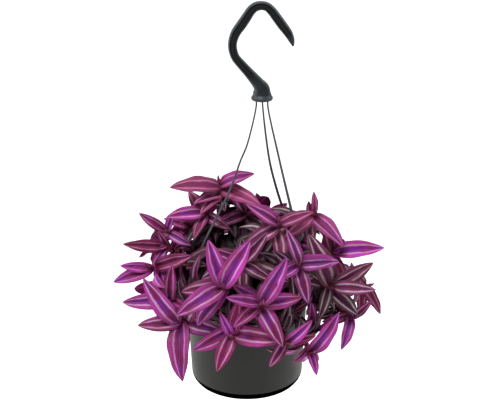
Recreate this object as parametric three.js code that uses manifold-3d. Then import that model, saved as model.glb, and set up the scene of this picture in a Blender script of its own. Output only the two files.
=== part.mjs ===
// A potted tradescantia in its hanging pot: a tapered plastic pot with a clipped-on drip saucer, the potting
// soil, a moulded hook with three straps that clip into the rim, and the leafy stems that spill over it.
//
// Millimetres, +Z up. The pieces are drawn with the pot's axis on Z and the saucer standing on z = 0, and the
// whole is then moved so that the origin is the point of the hook that hangs on a rail.

import * as THREE from 'three';
import { mergeVertices } from 'three/addons/utils/BufferGeometryUtils.js';
import Module from 'manifold-3d';

const wasm = await Module();
wasm.setup();

const DEGREE = Math.PI / 180;
const UP = new THREE.Vector3(0, 0, 1);

// clearance between pieces that touch on the real thing, how far a cutter stands out of what it cuts, and the
// height of a step too small to keep
const GAP = 0.3;
const OVERSHOOT = 2;
const SLIVER = 0.1;

// Pot and saucer
const ROUND_FACETS = 36;
const RIM_RADIUS = 77;
const RIM_TOP = 116;
const RIM_THICK = 1.8;
const SKIRT_BOTTOM = 108;
const SKIRT_THICK = 1.4;
const WALL_THICK = 1.5;
const WALL_TOP_RADIUS = 70.4;
const WALL_FOOT_RADIUS = 65.7;
const WALL_FOOT = 10.5;
const FLOOR_UNDERSIDE = 4;
const FLOOR_TOP = 6;
const FOOT_RING = { inner: 53.5, outer: 55, bottom: 2 };
const HEEL = { radius: 58, height: 3.9 };
const STEP_RADIUS = 61.8;
const INSIDE = { heel: 57.4, step: 60.8 };
const DRAIN = { radius: 4, from_axis: 35, facets: 8 };
const SAUCER = {
  floor: 56, bend: [60, 2.5], edge: 64, lip: 62.3, hollow: [58.6, 3.4], inner_floor: 55.5, thick: 1.7,
};

// Soil
const SOIL_EDGE = 101;
const SOIL_CROWN = 105.5;
const SOIL_SAMPLES = 3;
const STEM_HOLE = { radius: 2.9, depth: 17, facets: 5 };

// Hook: the middle line of its bar in the plane y = 0, from the foot up and round the crook to the tip, as
// (x, z, half the bar's height), and the rings of the disc at its foot, as (radius, z)
const HOOK_X = 16.8;
const HANG_POINT = { x: 16.3, z: 442 };
const HOOK_LINE = [
  [17.2, 349.6, 8.4], [16.5, 355.5, 7.6], [12.5, 361.5, 6], [3.4, 372, 5.3], [-5.8, 382.3, 5],
  [-12.4, 390.7, 4.7], [-15.1, 399.6, 4.8], [-15, 407.5, 4.9], [-11.8, 417, 5.3], [-5.2, 426.6, 5.6],
  [0.2, 434.6, 5.4], [4.7, 441.4, 5.2], [9.9, 445.6, 5], [16.3, 446.8, 4.8], [21.9, 445.4, 4.8],
  [26.5, 441.4, 5], [31.7, 434.6, 5.2], [38.4, 425.4, 5.2], [44.8, 416.7, 4.7], [48.4, 409.2, 3.4],
  [50.3, 402.8, 1],
];
const HOOK_FACETS = 10;
const HOOK_STEPS = 32;
const HOOK_HALF_DEPTH = 5.2;
const HOOK_SQUARENESS = 2.4;
const FOOT_DISC = [[10.6, 343.4], [11.7, 344.6], [11.7, 347.4], [10.6, 348.6]];
const DISC_BOTTOM = FOOT_DISC[0][1];
const SOCKET = { radius: 1.4, from_axis: 7, top: 347.4, facets: 8 };

// Straps: where each clips into the rim and where it sits in the hook's foot disc (degrees round from +X),
// and the points that it passes between them
const STRAP_FACETS = 6;
const STRAP_STEPS = 16;
const STRAP_SAMPLES = 90;
const STRAP_TOP = { width: 0.9, thick: 0.9, squareness: 2 };
const STRAP_END = { width: 3.1, thick: 0.8, squareness: 4 };
const STRAP_LEADS = { under_disc: 7, over_rim: 3 };
const CLIP = { from_axis: 73.2, width: 5.2, thick: 1.05, bottom: 109.5, point: 2.2 };
const SLOT = { width: 8, thick: 2.4 };
const STRAPS = [
  { name: 'strap_left', rim: 200, disc: 205, by: [
    [0.3, -7, 292.5], [-6.5, -9, 276], [-19.5, -11.5, 239.3], [-36.5, -14.5, 204.1], [-49.5, -17.5, 177.4],
    [-60.5, -20.5, 148.5], [-68, -24, 126.5]] },
  { name: 'strap_back', rim: 42, disc: 85, by: [
    [25.7, 20, 265.5], [34.8, 30, 225.5], [44.5, 39, 190.5], [51.5, 45.5, 154.5], [55, 48.5, 128.5]] },
  { name: 'strap_front', rim: 322, disc: 335, by: [
    [36.1, -17, 278.4], [49.8, -31, 222.8], [57.5, -40, 190.4], [61.5, -46, 160.5], [60, -46, 131.5]] },
];

// Leaves: how far behind the shoot tip each one grows, how far it leans from the stem, how much it curls on,
// its length against a full-grown leaf, and its width against its length. The first is the young leaf still
// rolled up at the tip. The outline is share^base (1 - share)^tip, with a foot that fades along the leaf.
const LEAF_LENGTH = 54;
const LEAF_THICK = 1.3;
const LEAF_FOLD = 20 * DEGREE;
const LEAF_OUTLINE = { base: 0.55, tip: 0.85 };
const LEAF_FOOT = { half: 0.8, fade: 6 };
const LEAF_STATIONS = [0, 0.2, 0.52, 1];
const LEAF_RANKS = [
  { behind: 0, spread: 10, bend: 8, size: 0.36, width: 0.3 },
  { behind: 2, spread: 54, bend: 28, size: 0.8, width: 0.36 },
  { behind: 5, spread: 58, bend: 34, size: 1, width: 0.39 },
  { behind: 8, spread: 62, bend: 36, size: 1, width: 0.41 },
  { behind: 11, spread: 63, bend: 42, size: 1, width: 0.41 },
  { behind: 15, spread: 68, bend: 44, size: 0.95, width: 0.41 },
  { behind: 26, spread: 74, bend: 46, size: 0.9, width: 0.41 },
  { behind: 40, spread: 80, bend: 48, size: 0.85, width: 0.41 },
];
const LEAF_SCATTER = { clock: 22, size: 0.1, roll: 10 * DEGREE, width: 0.08 };
const CLOCK_STEP = 140;

// Stems: each rises out of a root near the rim for a tip that hangs low, near the middle for a high one
const STEM_FACETS = 4;
const STEM_STEPS = 5;
const STEM_NODES = [42, 32, 22, 13, 6, 0];
const STEM_RADIUS = { root: 2.2, tip: 1.8 };
const STEM_RISES = [35, 50, 65, 80, 100, 120, 145];
const ROOTS = { near_rim: 56, near_axis: 12, low_tip: 84, high_tip: 234 };
const ROOT_TURNS = [0, 8, -8, 16, -16, 24, -24];
const STEM_SAMPLES = 50;
const STEM_LEAD = 22;
const SOIL_STUB = 2;

// Room: the least distance from a leaf's points to the points of other stems' leaves, of stems and of straps,
// and what the leaf tries, in turn, when it has less: a turn of its clock angle, more lean, a smaller leaf
const ROOM = { leaf: 4.5, stem: 6, strap: 6.5 };
const POT_ROOM = { radius: RIM_RADIUS + 4, height: RIM_TOP + 4 };
const RIM_ROOM = { above: RIM_TOP + 6, inside: 5 };
const SAMPLES_ALONG = 12;
const SAMPLES_ACROSS = [-1, -0.5, 0, 0.5, 1];
const SECOND_TRIES = [
  { turn: 0, lean: 0, size: 1 }, { turn: 13, lean: 0, size: 1 }, { turn: -13, lean: 0, size: 1 },
  { turn: 0, lean: 12, size: 1 }, { turn: 0, lean: -14, size: 1 }, { turn: 26, lean: 5, size: 0.92 },
  { turn: -26, lean: 5, size: 0.92 }, { turn: 0, lean: -22, size: 0.82 }, { turn: 40, lean: 10, size: 0.8 },
  { turn: -40, lean: 10, size: 0.8 }, { turn: 0, lean: 0, size: 0.62 },
];

// Shoots that show in front: the tip's place, where it faces (degrees round from the front, then up), and the
// clock angle and length of each of its end leaves, seen by someone whom the shoot faces. Leaves further down
// the stem follow the rule of LEAF_RANKS.
const FRONT_SHOOTS = [
  { tip: [-75, -84, 111], faces: [-14, 24], leaves: [[-40, 66], [-100, 48], [170, 68], [100, 54]] },
  { tip: [-16, -112, 110], faces: [-4, 22], leaves: [[-25, 34], [10, 42], [95, 58], [-160, 48], [-120, 52]] },
  { tip: [15, -120, 153], faces: [6, 26], leaves: [[30, 60], [-65, 40], [85, 46], [-130, 40]] },
  { tip: [-25, -112, 169], faces: [-6, 28], leaves: [[30, 62], [-20, 54], [-125, 60], [-100, 48]] },
  { tip: [95, -74, 151], faces: [14, 24], leaves: [[100, 48], [65, 54], [-45, 70], [-155, 40], [125, 50]] },
  { tip: [75, -30, 220], faces: [20, 36], leaves: [[5, 26], [-105, 52], [155, 54], [125, 36], [-165, 40]] },
  { tip: [35, -60, 220], faces: [8, 35], leaves: [[-60, 46], [75, 42], [-145, 50], [110, 40], [175, 44]] },
  { tip: [-30, 13, 238], faces: [-14, 46], leaves: [[75, 46], [-103, 60], [112, 58], [-150, 40], [-128, 48]] },
  { tip: [-48, 5, 208], faces: [-16, 36], leaves: [[-110, 46], [-170, 36], [115, 36], [-45, 40]] },
  { tip: [-93, 0, 187], faces: [-20, 30], leaves: [[-65, 38], [15, 26], [150, 40]] },
  { tip: [-93, -12, 172], faces: [-10, 24], leaves: [[-90, 50], [-150, 30], [-30, 32], [70, 38]] },
  { tip: [-107, -45, 161], faces: [-10, 22], leaves: [[-90, 36], [-115, 48], [70, 48], [160, 34]] },
  { tip: [-86, -58, 127], faces: [-12, 20], leaves: [[5, 46], [-97, 56], [110, 38], [-150, 40]] },
  { tip: [70, -92, 80], faces: [14, 18], leaves: [[35, 58], [170, 30], [-125, 26]] },
  { tip: [44, -108, 100], faces: [8, 16], leaves: [[45, 40], [80, 34], [-145, 36], [-90, 36]] },
  { tip: [118, -58, 105], faces: [14, 18], leaves: [[50, 32], [-155, 40], [-95, 34], [80, 26]] },
  { tip: [136, -25, 130], faces: [22, 18], leaves: [[-45, 38], [160, 40], [-165, 36], [-105, 34]] },
  { tip: [98, -38, 177], faces: [6, 30], leaves: [[90, 58], [-15, 44], [-115, 36], [155, 40], [-60, 40]] },
  { tip: [-1, 10, 208], faces: [4, 44], leaves: [[100, 36], [-45, 40], [-110, 40], [140, 42]] },
  { tip: [-4, -84, 185], faces: [-2, 32], leaves: [[40, 44], [-70, 40], [120, 40], [-155, 42]] },
  { tip: [-66, 24, 182], faces: [-24, 34], leaves: [[-85, 34], [60, 42], [-160, 40], [130, 42]] },
  { tip: [57, -92, 186], faces: [12, 28], leaves: [[-20, 44], [90, 40], [-115, 38], [170, 44]] },
];

// Shoots round the back and sides, in rings: how many, between which angles round from the front, how far the
// tips reach from the pot's axis, their height, and how far up they face
const RINGS = [
  { shoots: 5, from: 106, to: 256, reach: 110, height: 96, lift: 12 },
  { shoots: 6, from: 110, to: 250, reach: 106, height: 146, lift: 26 },
  { shoots: 3, from: 124, to: 232, reach: 70, height: 184, lift: 42 },
];
const RING_SCATTER = { around: 8, reach: 8, height: 10, faces: 16, lift: 8 };
const SEED = 4711;

const COLOURS = {
  pot: { color: 0x33342f, roughness: 0.5 },
  saucer: { color: 0x0a0b0a, roughness: 0.45 },
  soil: { color: 0x2a1d14, roughness: 1 },
  hook: { color: 0x3a3f42, roughness: 0.45 },
  strap: { color: 0x44474a, roughness: 0.5 },
  leaf: { color: 0x8a2f86, roughness: 0.6 },
};

function meshOf(name, geometry, look) {
  const mesh = new THREE.Mesh(geometry, new THREE.MeshStandardMaterial({ metalness: 0, ...look }));
  mesh.name = name;
  return mesh;
}

// a closed geometry as a solid that can be cut and joined
function solidOf(geometry) {
  const bare = geometry.clone();
  bare.deleteAttribute('normal');
  bare.deleteAttribute('uv');
  const merged = mergeVertices(bare, 1e-4);
  const index = merged.index.array;
  const triangles = [];
  for (let i = 0; i < index.length; i += 3) {
    const [a, b, c] = [index[i], index[i + 1], index[i + 2]];
    if (a !== b && b !== c && c !== a) triangles.push(a, b, c);
  }
  const vertProperties = Float32Array.from(merged.attributes.position.array);
  const triVerts = Uint32Array.from(triangles);
  return new wasm.Manifold(new wasm.Mesh({ numProp: 3, vertProperties, triVerts }));
}

// back to a geometry, without the slivers that cuts and joins leave
function geometryOf(solid) {
  const cut = solid.asOriginal().simplify(SLIVER).getMesh();
  const geometry = new THREE.BufferGeometry();
  geometry.setAttribute('position', new THREE.BufferAttribute(Float32Array.from(cut.vertProperties), 3));
  geometry.setIndex(new THREE.BufferAttribute(Uint32Array.from(cut.triVerts), 1));
  return geometry;
}

// turned round the pot's axis from [radius, height] points that start and end on it
function turned(profile) {
  const points = profile.map(([radius, height]) => new THREE.Vector2(radius, height));
  return new THREE.LatheGeometry(points, ROUND_FACETS).rotateX(Math.PI / 2);
}

// an upright prism that cuts a hole
function uprightCutter(x, y, bottom, top, radius, facets) {
  return solidOf(new THREE.CylinderGeometry(radius, radius, top - bottom, facets)
    .rotateX(Math.PI / 2).translate(x, y, (bottom + top) / 2));
}

// A closed skin over rings of points. Each ring runs from the section's first axis to its second, seen from
// ahead; a last ring of one point closes to a tip. Every other face is split the other way, so that the upper
// and lower face of a thin blade are split alike.
function skinned(rings) {
  const count = rings[0].length;
  const places = rings.flat();
  const triangles = [];
  for (let i = 0; i + 1 < rings.length; i += 1) {
    const near = i * count;
    const far = near + count;
    const pointed = rings[i + 1].length === 1;
    for (let j = 0; j < count; j += 1) {
      const next = (j + 1) % count;
      if (pointed) triangles.push(near + j, near + next, far);
      else if (j % 2) triangles.push(near + j, near + next, far + next, near + j, far + next, far + j);
      else triangles.push(near + j, near + next, far + j, near + next, far + next, far + j);
    }
  }
  for (let j = 1; j + 1 < count; j += 1) triangles.push(0, j + 1, j);
  if (rings.at(-1).length > 1) {
    const last = places.length - count;
    for (let j = 1; j + 1 < count; j += 1) triangles.push(last, last + j, last + j + 1);
  }
  const geometry = new THREE.BufferGeometry();
  geometry.setAttribute('position', new THREE.Float32BufferAttribute(places.flatMap((p) => p.toArray()), 3));
  geometry.setIndex(triangles);
  return geometry;
}

// a rounded section: half sizes along two axes, with corners squarer as the power grows
function sectionRing(centre, across, along, halfAcross, halfAlong, facets, power = 2) {
  const ring = [];
  for (let j = 0; j < facets; j += 1) {
    const angle = (2 * Math.PI * (j + 0.5)) / facets;
    const [c, s] = [Math.cos(angle), Math.sin(angle)];
    const reach = (Math.abs(c) ** power + Math.abs(s) ** power) ** (-1 / power);
    ring.push(centre.clone()
      .addScaledVector(across, halfAcross * c * reach)
      .addScaledVector(along, halfAlong * s * reach));
  }
  return ring;
}

function atAngle(degrees, radius, z) {
  return new THREE.Vector3(radius * Math.cos(degrees * DEGREE), radius * Math.sin(degrees * DEGREE), z);
}

function innerWallRadius(z) {
  const bottom = WALL_FOOT + WALL_THICK;
  const share = (z - bottom) / (RIM_TOP - bottom);
  return THREE.MathUtils.lerp(WALL_FOOT_RADIUS, WALL_TOP_RADIUS, share) - WALL_THICK;
}

function makePot() {
  const shell = turned([
    [0, FLOOR_UNDERSIDE], [FOOT_RING.inner, FLOOR_UNDERSIDE], [FOOT_RING.inner, FOOT_RING.bottom],
    [FOOT_RING.outer, FOOT_RING.bottom], [HEEL.radius, HEEL.height], [STEP_RADIUS, WALL_FOOT],
    [WALL_FOOT_RADIUS, WALL_FOOT], [WALL_TOP_RADIUS, RIM_TOP - RIM_THICK],
    [RIM_RADIUS - SKIRT_THICK, RIM_TOP - RIM_THICK], [RIM_RADIUS - SKIRT_THICK, SKIRT_BOTTOM],
    [RIM_RADIUS, SKIRT_BOTTOM], [RIM_RADIUS, RIM_TOP], [innerWallRadius(RIM_TOP), RIM_TOP],
    [innerWallRadius(WALL_FOOT + WALL_THICK), WALL_FOOT + WALL_THICK],
    [INSIDE.step, WALL_FOOT + WALL_THICK], [INSIDE.heel, FLOOR_TOP], [0, FLOOR_TOP],
  ]);
  let pot = solidOf(shell);
  for (let quarter = 0; quarter < 4; quarter += 1) {
    const hole = atAngle(45 + 90 * quarter, DRAIN.from_axis, 0);
    const top = FLOOR_TOP + OVERSHOOT;
    pot = pot.subtract(uprightCutter(hole.x, hole.y, 0, top, DRAIN.radius, DRAIN.facets));
  }
  for (const strap of STRAPS) {
    const cutter = new THREE.BoxGeometry(SLOT.thick, SLOT.width, 2 * (RIM_THICK + OVERSHOOT));
    cutter.translate(CLIP.from_axis, 0, RIM_TOP).rotateZ(strap.rim * DEGREE);
    pot = pot.subtract(solidOf(cutter));
  }
  return meshOf('pot', geometryOf(pot), COLOURS.pot);
}

function makeSaucer() {
  const saucer = turned([
    [0, 0], [SAUCER.floor, 0], SAUCER.bend, [SAUCER.edge, WALL_FOOT - GAP], [SAUCER.lip, WALL_FOOT - GAP],
    SAUCER.hollow, [SAUCER.inner_floor, SAUCER.thick], [0, SAUCER.thick],
  ]);
  return meshOf('drip_saucer', saucer, COLOURS.saucer);
}

function soilHeight(radius) {
  return THREE.MathUtils.lerp(SOIL_CROWN, SOIL_EDGE, (radius / innerWallRadius(SOIL_EDGE)) ** 2);
}

function makeSoil(shoots) {
  const edge = innerWallRadius(SOIL_EDGE) - GAP;
  const step = WALL_FOOT + WALL_THICK + GAP;
  const profile = [
    [0, FLOOR_TOP + GAP], [INSIDE.heel - GAP, FLOOR_TOP + GAP], [INSIDE.step - GAP, step],
    [innerWallRadius(step) - GAP, step],
  ];
  for (let i = 0; i <= SOIL_SAMPLES; i += 1) {
    const radius = edge * (1 - i / SOIL_SAMPLES);
    profile.push([radius, soilHeight(radius)]);
  }
  let soil = solidOf(turned(profile));
  for (const { root } of shoots) {
    const [bottom, top] = [root.z - STEM_HOLE.depth, root.z + OVERSHOOT];
    soil = soil.subtract(uprightCutter(root.x, root.y, bottom, top, STEM_HOLE.radius, STEM_HOLE.facets));
  }
  return meshOf('potting_soil', geometryOf(soil), COLOURS.soil);
}

function makeHook() {
  const sideways = new THREE.Vector3(0, 1, 0);
  const along = new THREE.Vector3();
  const line = new THREE.CatmullRomCurve3(
    HOOK_LINE.map(([x, z]) => new THREE.Vector3(x, 0, z)), false, 'centripetal');
  const rings = FOOT_DISC.map(([radius, z]) => sectionRing(
    new THREE.Vector3(HOOK_X, 0, z), sideways, new THREE.Vector3(-1, 0, 0), radius, radius, HOOK_FACETS));
  for (let i = 0; i <= HOOK_STEPS; i += 1) {
    const share = i / HOOK_STEPS;
    const row = share * (HOOK_LINE.length - 1);
    const [below, above] = [HOOK_LINE[Math.floor(row)], HOOK_LINE[Math.ceil(row)]];
    const half = THREE.MathUtils.lerp(below[2], above[2], row % 1);
    const depth = Math.min(half, HOOK_HALF_DEPTH);
    along.crossVectors(line.getTangent(share), sideways).normalize();
    rings.push(sectionRing(line.getPoint(share), sideways, along, depth, half, HOOK_FACETS, HOOK_SQUARENESS));
  }
  let hook = solidOf(skinned(rings));
  for (const strap of STRAPS) {
    const { x, y } = socketAt(strap, 0);
    const bottom = DISC_BOTTOM - OVERSHOOT;
    hook = hook.subtract(uprightCutter(x, y, bottom, SOCKET.top, SOCKET.radius, SOCKET.facets));
  }
  return meshOf('hanger_hook', geometryOf(hook), COLOURS.hook);
}

function socketAt(strap, z) {
  return atAngle(strap.disc, SOCKET.from_axis, z).add(new THREE.Vector3(HOOK_X, 0, 0));
}

// the line that a strap follows, from its socket in the hook's foot disc down to the rim's slot
function strapLine(strap) {
  return new THREE.CatmullRomCurve3([
    socketAt(strap, SOCKET.top - GAP), socketAt(strap, DISC_BOTTOM),
    socketAt(strap, DISC_BOTTOM - STRAP_LEADS.under_disc),
    ...strap.by.map((point) => new THREE.Vector3(...point)),
    atAngle(strap.rim, CLIP.from_axis, RIM_TOP + STRAP_LEADS.over_rim),
    atAngle(strap.rim, CLIP.from_axis, RIM_TOP - RIM_THICK - GAP),
  ], false, 'centripetal');
}

function makeStrap(strap) {
  const side = atAngle(strap.rim + 90, 1, 0);
  const line = strapLine(strap);
  const across = new THREE.Vector3();
  const along = new THREE.Vector3();
  const ringAt = (centre, tangent, halfWidth, halfThick, squareness) => {
    across.copy(side).addScaledVector(tangent, -tangent.dot(side)).normalize();
    along.crossVectors(tangent, across);
    return sectionRing(centre, across, along, halfWidth, halfThick, STRAP_FACETS, squareness);
  };
  const down = new THREE.Vector3(0, 0, -1);
  const rings = [];
  for (let i = 0; i <= STRAP_STEPS; i += 1) {
    const share = i / STRAP_STEPS;
    const between = (key) => THREE.MathUtils.lerp(STRAP_TOP[key], STRAP_END[key], share);
    rings.push(ringAt(line.getPointAt(share), line.getTangentAt(share),
      between('width'), between('thick'), between('squareness')));
  }
  const foot = line.getPointAt(1);
  rings.push(ringAt(foot, down, CLIP.width, CLIP.thick, STRAP_END.squareness));
  rings.push(ringAt(foot.clone().setZ(CLIP.bottom), down, CLIP.point, CLIP.thick, STRAP_END.squareness));
  return meshOf(strap.name, skinned(rings), COLOURS.strap);
}

// Draws that come out alike each time
function makeDraws(seed) {
  let state = seed;
  return () => {
    state = (state * 1664525 + 1013904223) % 4294967296;
    return state / 4294967296;
  };
}

// a direction so many degrees round from the front (the -Y side, + to the right) and so many up
function facing(around, lift) {
  const level = Math.cos(lift * DEGREE);
  return new THREE.Vector3(
    Math.sin(around * DEGREE) * level, -Math.cos(around * DEGREE) * level, Math.sin(lift * DEGREE));
}

function ringShoots(draw) {
  const shoots = [];
  for (const ring of RINGS) {
    for (let i = 0; i < ring.shoots; i += 1) {
      const scatter = (range) => (2 * draw() - 1) * range;
      const middle = THREE.MathUtils.lerp(ring.from, ring.to, i / (ring.shoots - 1));
      const around = middle + scatter(RING_SCATTER.around);
      const reach = ring.reach + scatter(RING_SCATTER.reach);
      const height = ring.height + scatter(RING_SCATTER.height);
      const outward = facing(around, 0).multiplyScalar(reach);
      const faces = [around + scatter(RING_SCATTER.faces), ring.lift + scatter(RING_SCATTER.lift)];
      shoots.push({ tip: [outward.x, outward.y, height], faces, leaves: [] });
    }
  }
  return shoots;
}

// a shoot's root in the soil: in line with its tip, and nearer the rim the lower the tip hangs
function rootOf(tip, turn) {
  const around = Math.atan2(tip.y, tip.x) + turn * DEGREE;
  const height = THREE.MathUtils.clamp(tip.z, ROOTS.low_tip, ROOTS.high_tip);
  const radius = THREE.MathUtils.mapLinear(
    height, ROOTS.low_tip, ROOTS.high_tip, ROOTS.near_rim, ROOTS.near_axis);
  const root = new THREE.Vector3(radius * Math.cos(around), radius * Math.sin(around), 0);
  return root.setZ(soilHeight(radius));
}

function clearsRim(points) {
  const inside = innerWallRadius(RIM_TOP) - RIM_ROOM.inside;
  return points.every((point) => {
    const radius = Math.hypot(point.x, point.y);
    return point.z > RIM_ROOM.above || radius < inside || radius > POT_ROOM.radius;
  });
}

// The stem's arc: straight up out of the soil, over the rim, and into the direction that its tip faces. It
// takes the first root and rise that clear the rim, the straps and the stems grown before it.
function growStem(tip, face, crowd) {
  const lead = tip.clone().addScaledVector(face, -STEM_LEAD);
  const choices = ROOT_TURNS.flatMap((turn) => STEM_RISES.map((rise) => {
    const root = rootOf(tip, turn);
    const start = root.clone().setZ(root.z + SOIL_STUB);
    const line = new THREE.CubicBezierCurve3(start, start.clone().addScaledVector(UP, rise), lead, tip);
    return { root, line, points: line.getPoints(STEM_SAMPLES) };
  }));
  const isFree = ({ points }) => clearsRim(points) && !points.some((point) => crowd.touches(point));
  return choices.find(isFree) ?? choices[0];
}

function growShoots(crowd) {
  const draw = makeDraws(SEED);
  return [...FRONT_SHOOTS, ...ringShoots(draw)].map((row, index) => {
    const face = facing(...row.faces);
    const { root, line, points } = growStem(new THREE.Vector3(...row.tip), face, crowd);
    crowd.add(points, index, ROOM.stem);
    const right = atAngle(row.faces[0], 1, 0);
    const length = line.getLength();
    return { index, root, line, face, right, length, given: row.leaves, leaves: [], clock: 0 };
  });
}

// the width of a leaf at a share of its length, against its greatest
function leafShape(share) {
  const { base, tip } = LEAF_OUTLINE;
  const widest = base / (base + tip);
  return (share / widest) ** base * ((1 - share) / (1 - widest)) ** tip;
}

// A leaf's middle line and section at a share of its length: it leans away from the stem and curls on
function leafStation(leaf, share) {
  const turn = leaf.spread + leaf.bend * share;
  const curl = leaf.length / leaf.bend;
  const centre = leaf.foot.clone()
    .addScaledVector(leaf.stem, curl * (Math.sin(turn) - Math.sin(leaf.spread)))
    .addScaledVector(leaf.out, curl * (Math.cos(leaf.spread) - Math.cos(turn)));
  const flatFace = leaf.stem.clone().multiplyScalar(Math.sin(turn))
    .addScaledVector(leaf.out, -Math.cos(turn));
  const flatSide = leaf.stem.clone().cross(leaf.out);
  const [c, s] = [Math.cos(leaf.roll), Math.sin(leaf.roll)];
  const side = flatSide.clone().multiplyScalar(c).addScaledVector(flatFace, s);
  const face = flatFace.multiplyScalar(c).addScaledVector(flatSide, -s);
  const half = LEAF_FOOT.half * (1 - share) ** LEAF_FOOT.fade + (leaf.width / 2) * leafShape(share);
  return { centre, side, face, half };
}

// a point across the leaf, from -1 at its left edge to 1 at its right; the halves rise from the middle rib
function leafPoint(station, across, lift = 0) {
  return station.centre.clone()
    .addScaledVector(station.side, across * station.half * Math.cos(LEAF_FOLD))
    .addScaledVector(station.face, Math.abs(across) * station.half * Math.sin(LEAF_FOLD) + lift);
}

function leafSamples(leaf) {
  const samples = [];
  for (let i = 1; i <= SAMPLES_ALONG; i += 1) {
    const station = leafStation(leaf, i / SAMPLES_ALONG);
    for (const across of SAMPLES_ACROSS) samples.push(leafPoint(station, across));
  }
  return samples;
}

// the points already taken, in cubes as wide as the widest room, with their owner and the room they need
class Crowd {
  constructor() {
    this.size = Math.max(...Object.values(ROOM));
    this.cubes = new Map();
  }

  cube(point) {
    return [point.x, point.y, point.z].map((value) => Math.floor(value / this.size));
  }

  add(points, owner, room) {
    for (const point of points) {
      const key = this.cube(point).join();
      if (!this.cubes.has(key)) this.cubes.set(key, []);
      this.cubes.get(key).push({ point, owner, room });
    }
  }

  touches(point, owner) {
    const [x, y, z] = this.cube(point);
    for (let i = -1; i <= 1; i += 1) {
      for (let j = -1; j <= 1; j += 1) {
        for (let k = -1; k <= 1; k += 1) {
          const cube = this.cubes.get([x + i, y + j, z + k].join()) ?? [];
          const isNear = (other) => other.owner !== owner && other.point.distanceTo(point) < other.room;
          if (cube.some(isNear)) return true;
        }
      }
    }
    return false;
  }
}

function inPot(point) {
  return point.z < POT_ROOM.height && Math.hypot(point.x, point.y) < POT_ROOM.radius;
}

// grows the leaf of one rank on a shoot, unless it finds no room
function growLeaf(shoot, rank, crowd, draw) {
  const rule = LEAF_RANKS[rank];
  const draws = [draw(), draw(), draw(), draw()];
  const [turnDraw, widthDraw, rollDraw, sizeDraw] = draws.map((value) => 2 * value - 1);
  const given = shoot.given[rank - 1];
  shoot.clock = given ? given[0] : shoot.clock + CLOCK_STEP + LEAF_SCATTER.clock * turnDraw;
  const length = given ? given[1] : LEAF_LENGTH * rule.size * (1 + LEAF_SCATTER.size * sizeDraw);
  const share = 1 - rule.behind / shoot.length;
  const stem = given ? shoot.face : shoot.line.getTangentAt(share);
  const right = shoot.right.clone().addScaledVector(stem, -stem.dot(shoot.right)).normalize();
  const top = stem.clone().cross(right);
  for (const change of SECOND_TRIES) {
    const clock = (shoot.clock + change.turn) * DEGREE;
    const leaf = {
      foot: shoot.line.getPointAt(share),
      stem,
      out: top.clone().multiplyScalar(Math.cos(clock)).addScaledVector(right, Math.sin(clock)),
      spread: (rule.spread + change.lean) * DEGREE,
      bend: rule.bend * DEGREE,
      roll: LEAF_SCATTER.roll * rollDraw,
      length: length * change.size,
      width: length * change.size * rule.width * (1 + LEAF_SCATTER.width * widthDraw),
    };
    const samples = leafSamples(leaf);
    if (!samples.some((point) => inPot(point) || crowd.touches(point, shoot.index))) {
      crowd.add(samples, shoot.index, ROOM.leaf);
      shoot.leaves.push(leaf);
      return;
    }
  }
}

// leaves in turn: the given ones of every shoot first, then the rest from the tips down
function growLeaves(shoots, crowd) {
  const draw = makeDraws(SEED + 1);
  for (const shoot of shoots) shoot.clock = 360 * draw();
  for (const wanted of [true, false]) {
    for (let rank = 0; rank < LEAF_RANKS.length; rank += 1) {
      for (const shoot of shoots) {
        if (Boolean(shoot.given[rank - 1]) === wanted) growLeaf(shoot, rank, crowd, draw);
      }
    }
  }
}

function bladeOf(leaf) {
  const half = LEAF_THICK / 2;
  return skinned(LEAF_STATIONS.map((share) => {
    const station = leafStation(leaf, share);
    if (share === 1) return [station.centre];
    const [upper, lower] = [leafPoint(station, 0, half), leafPoint(station, 0, -half)];
    return [leafPoint(station, 1), upper, leafPoint(station, -1), lower];
  }));
}

function stemOf(shoot) {
  const { root, line, right, length } = shoot;
  const ringAt = (centre, tangent, radius) => {
    const across = right.clone().addScaledVector(tangent, -tangent.dot(right)).normalize();
    const along = tangent.clone().cross(across);
    return sectionRing(centre, across, along, radius, radius, STEM_FACETS);
  };
  const rings = [ringAt(root.clone().setZ(root.z - STEM_HOLE.depth + GAP), UP, STEM_RADIUS.root)];
  const leafy = 1 - STEM_NODES[0] / length;
  const shares = [...Array(STEM_STEPS).keys()].map((i) => (leafy * i) / STEM_STEPS);
  shares.push(...STEM_NODES.map((behind) => 1 - behind / length));
  for (const share of shares) {
    rings.push(ringAt(line.getPointAt(share), line.getTangentAt(share),
      THREE.MathUtils.lerp(STEM_RADIUS.root, STEM_RADIUS.tip, share)));
  }
  return skinned(rings);
}

function makeLeafyStem(shoot) {
  const pieces = [stemOf(shoot), ...shoot.leaves.map(bladeOf)].map(solidOf);
  const name = `leafy_stem_${String(shoot.index + 1).padStart(2, '0')}`;
  return meshOf(name, geometryOf(wasm.Manifold.union(pieces)), COLOURS.leaf);
}

const crowd = new Crowd();
STRAPS.forEach((strap) => crowd.add(strapLine(strap).getSpacedPoints(STRAP_SAMPLES), strap.name, ROOM.strap));
const shoots = growShoots(crowd);
growLeaves(shoots, crowd);

const plant = new THREE.Group();
plant.position.set(-HANG_POINT.x, 0, -HANG_POINT.z);
plant.add(makePot(), makeSaucer(), makeSoil(shoots), makeHook());
STRAPS.forEach((strap) => plant.add(makeStrap(strap)));
shoots.forEach((shoot) => plant.add(makeLeafyStem(shoot)));

const hangingPlant = new THREE.Group();
hangingPlant.add(plant);

export default hangingPlant;
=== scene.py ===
# %% [markdown]
# # A potted tradescantia in its hanging pot
#
# The solids of this plant are already built: pot, saucer, soil, hook, straps and leafy stems, all at
# their real size. This lesson dresses them. Each plain solid is either given a finish or replaced by a
# finer mesh of the same form, and the scene gets a floor, soft light and a camera. The origin is the
# point where the hook hangs.

# %% Load the solids
import math

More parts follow.
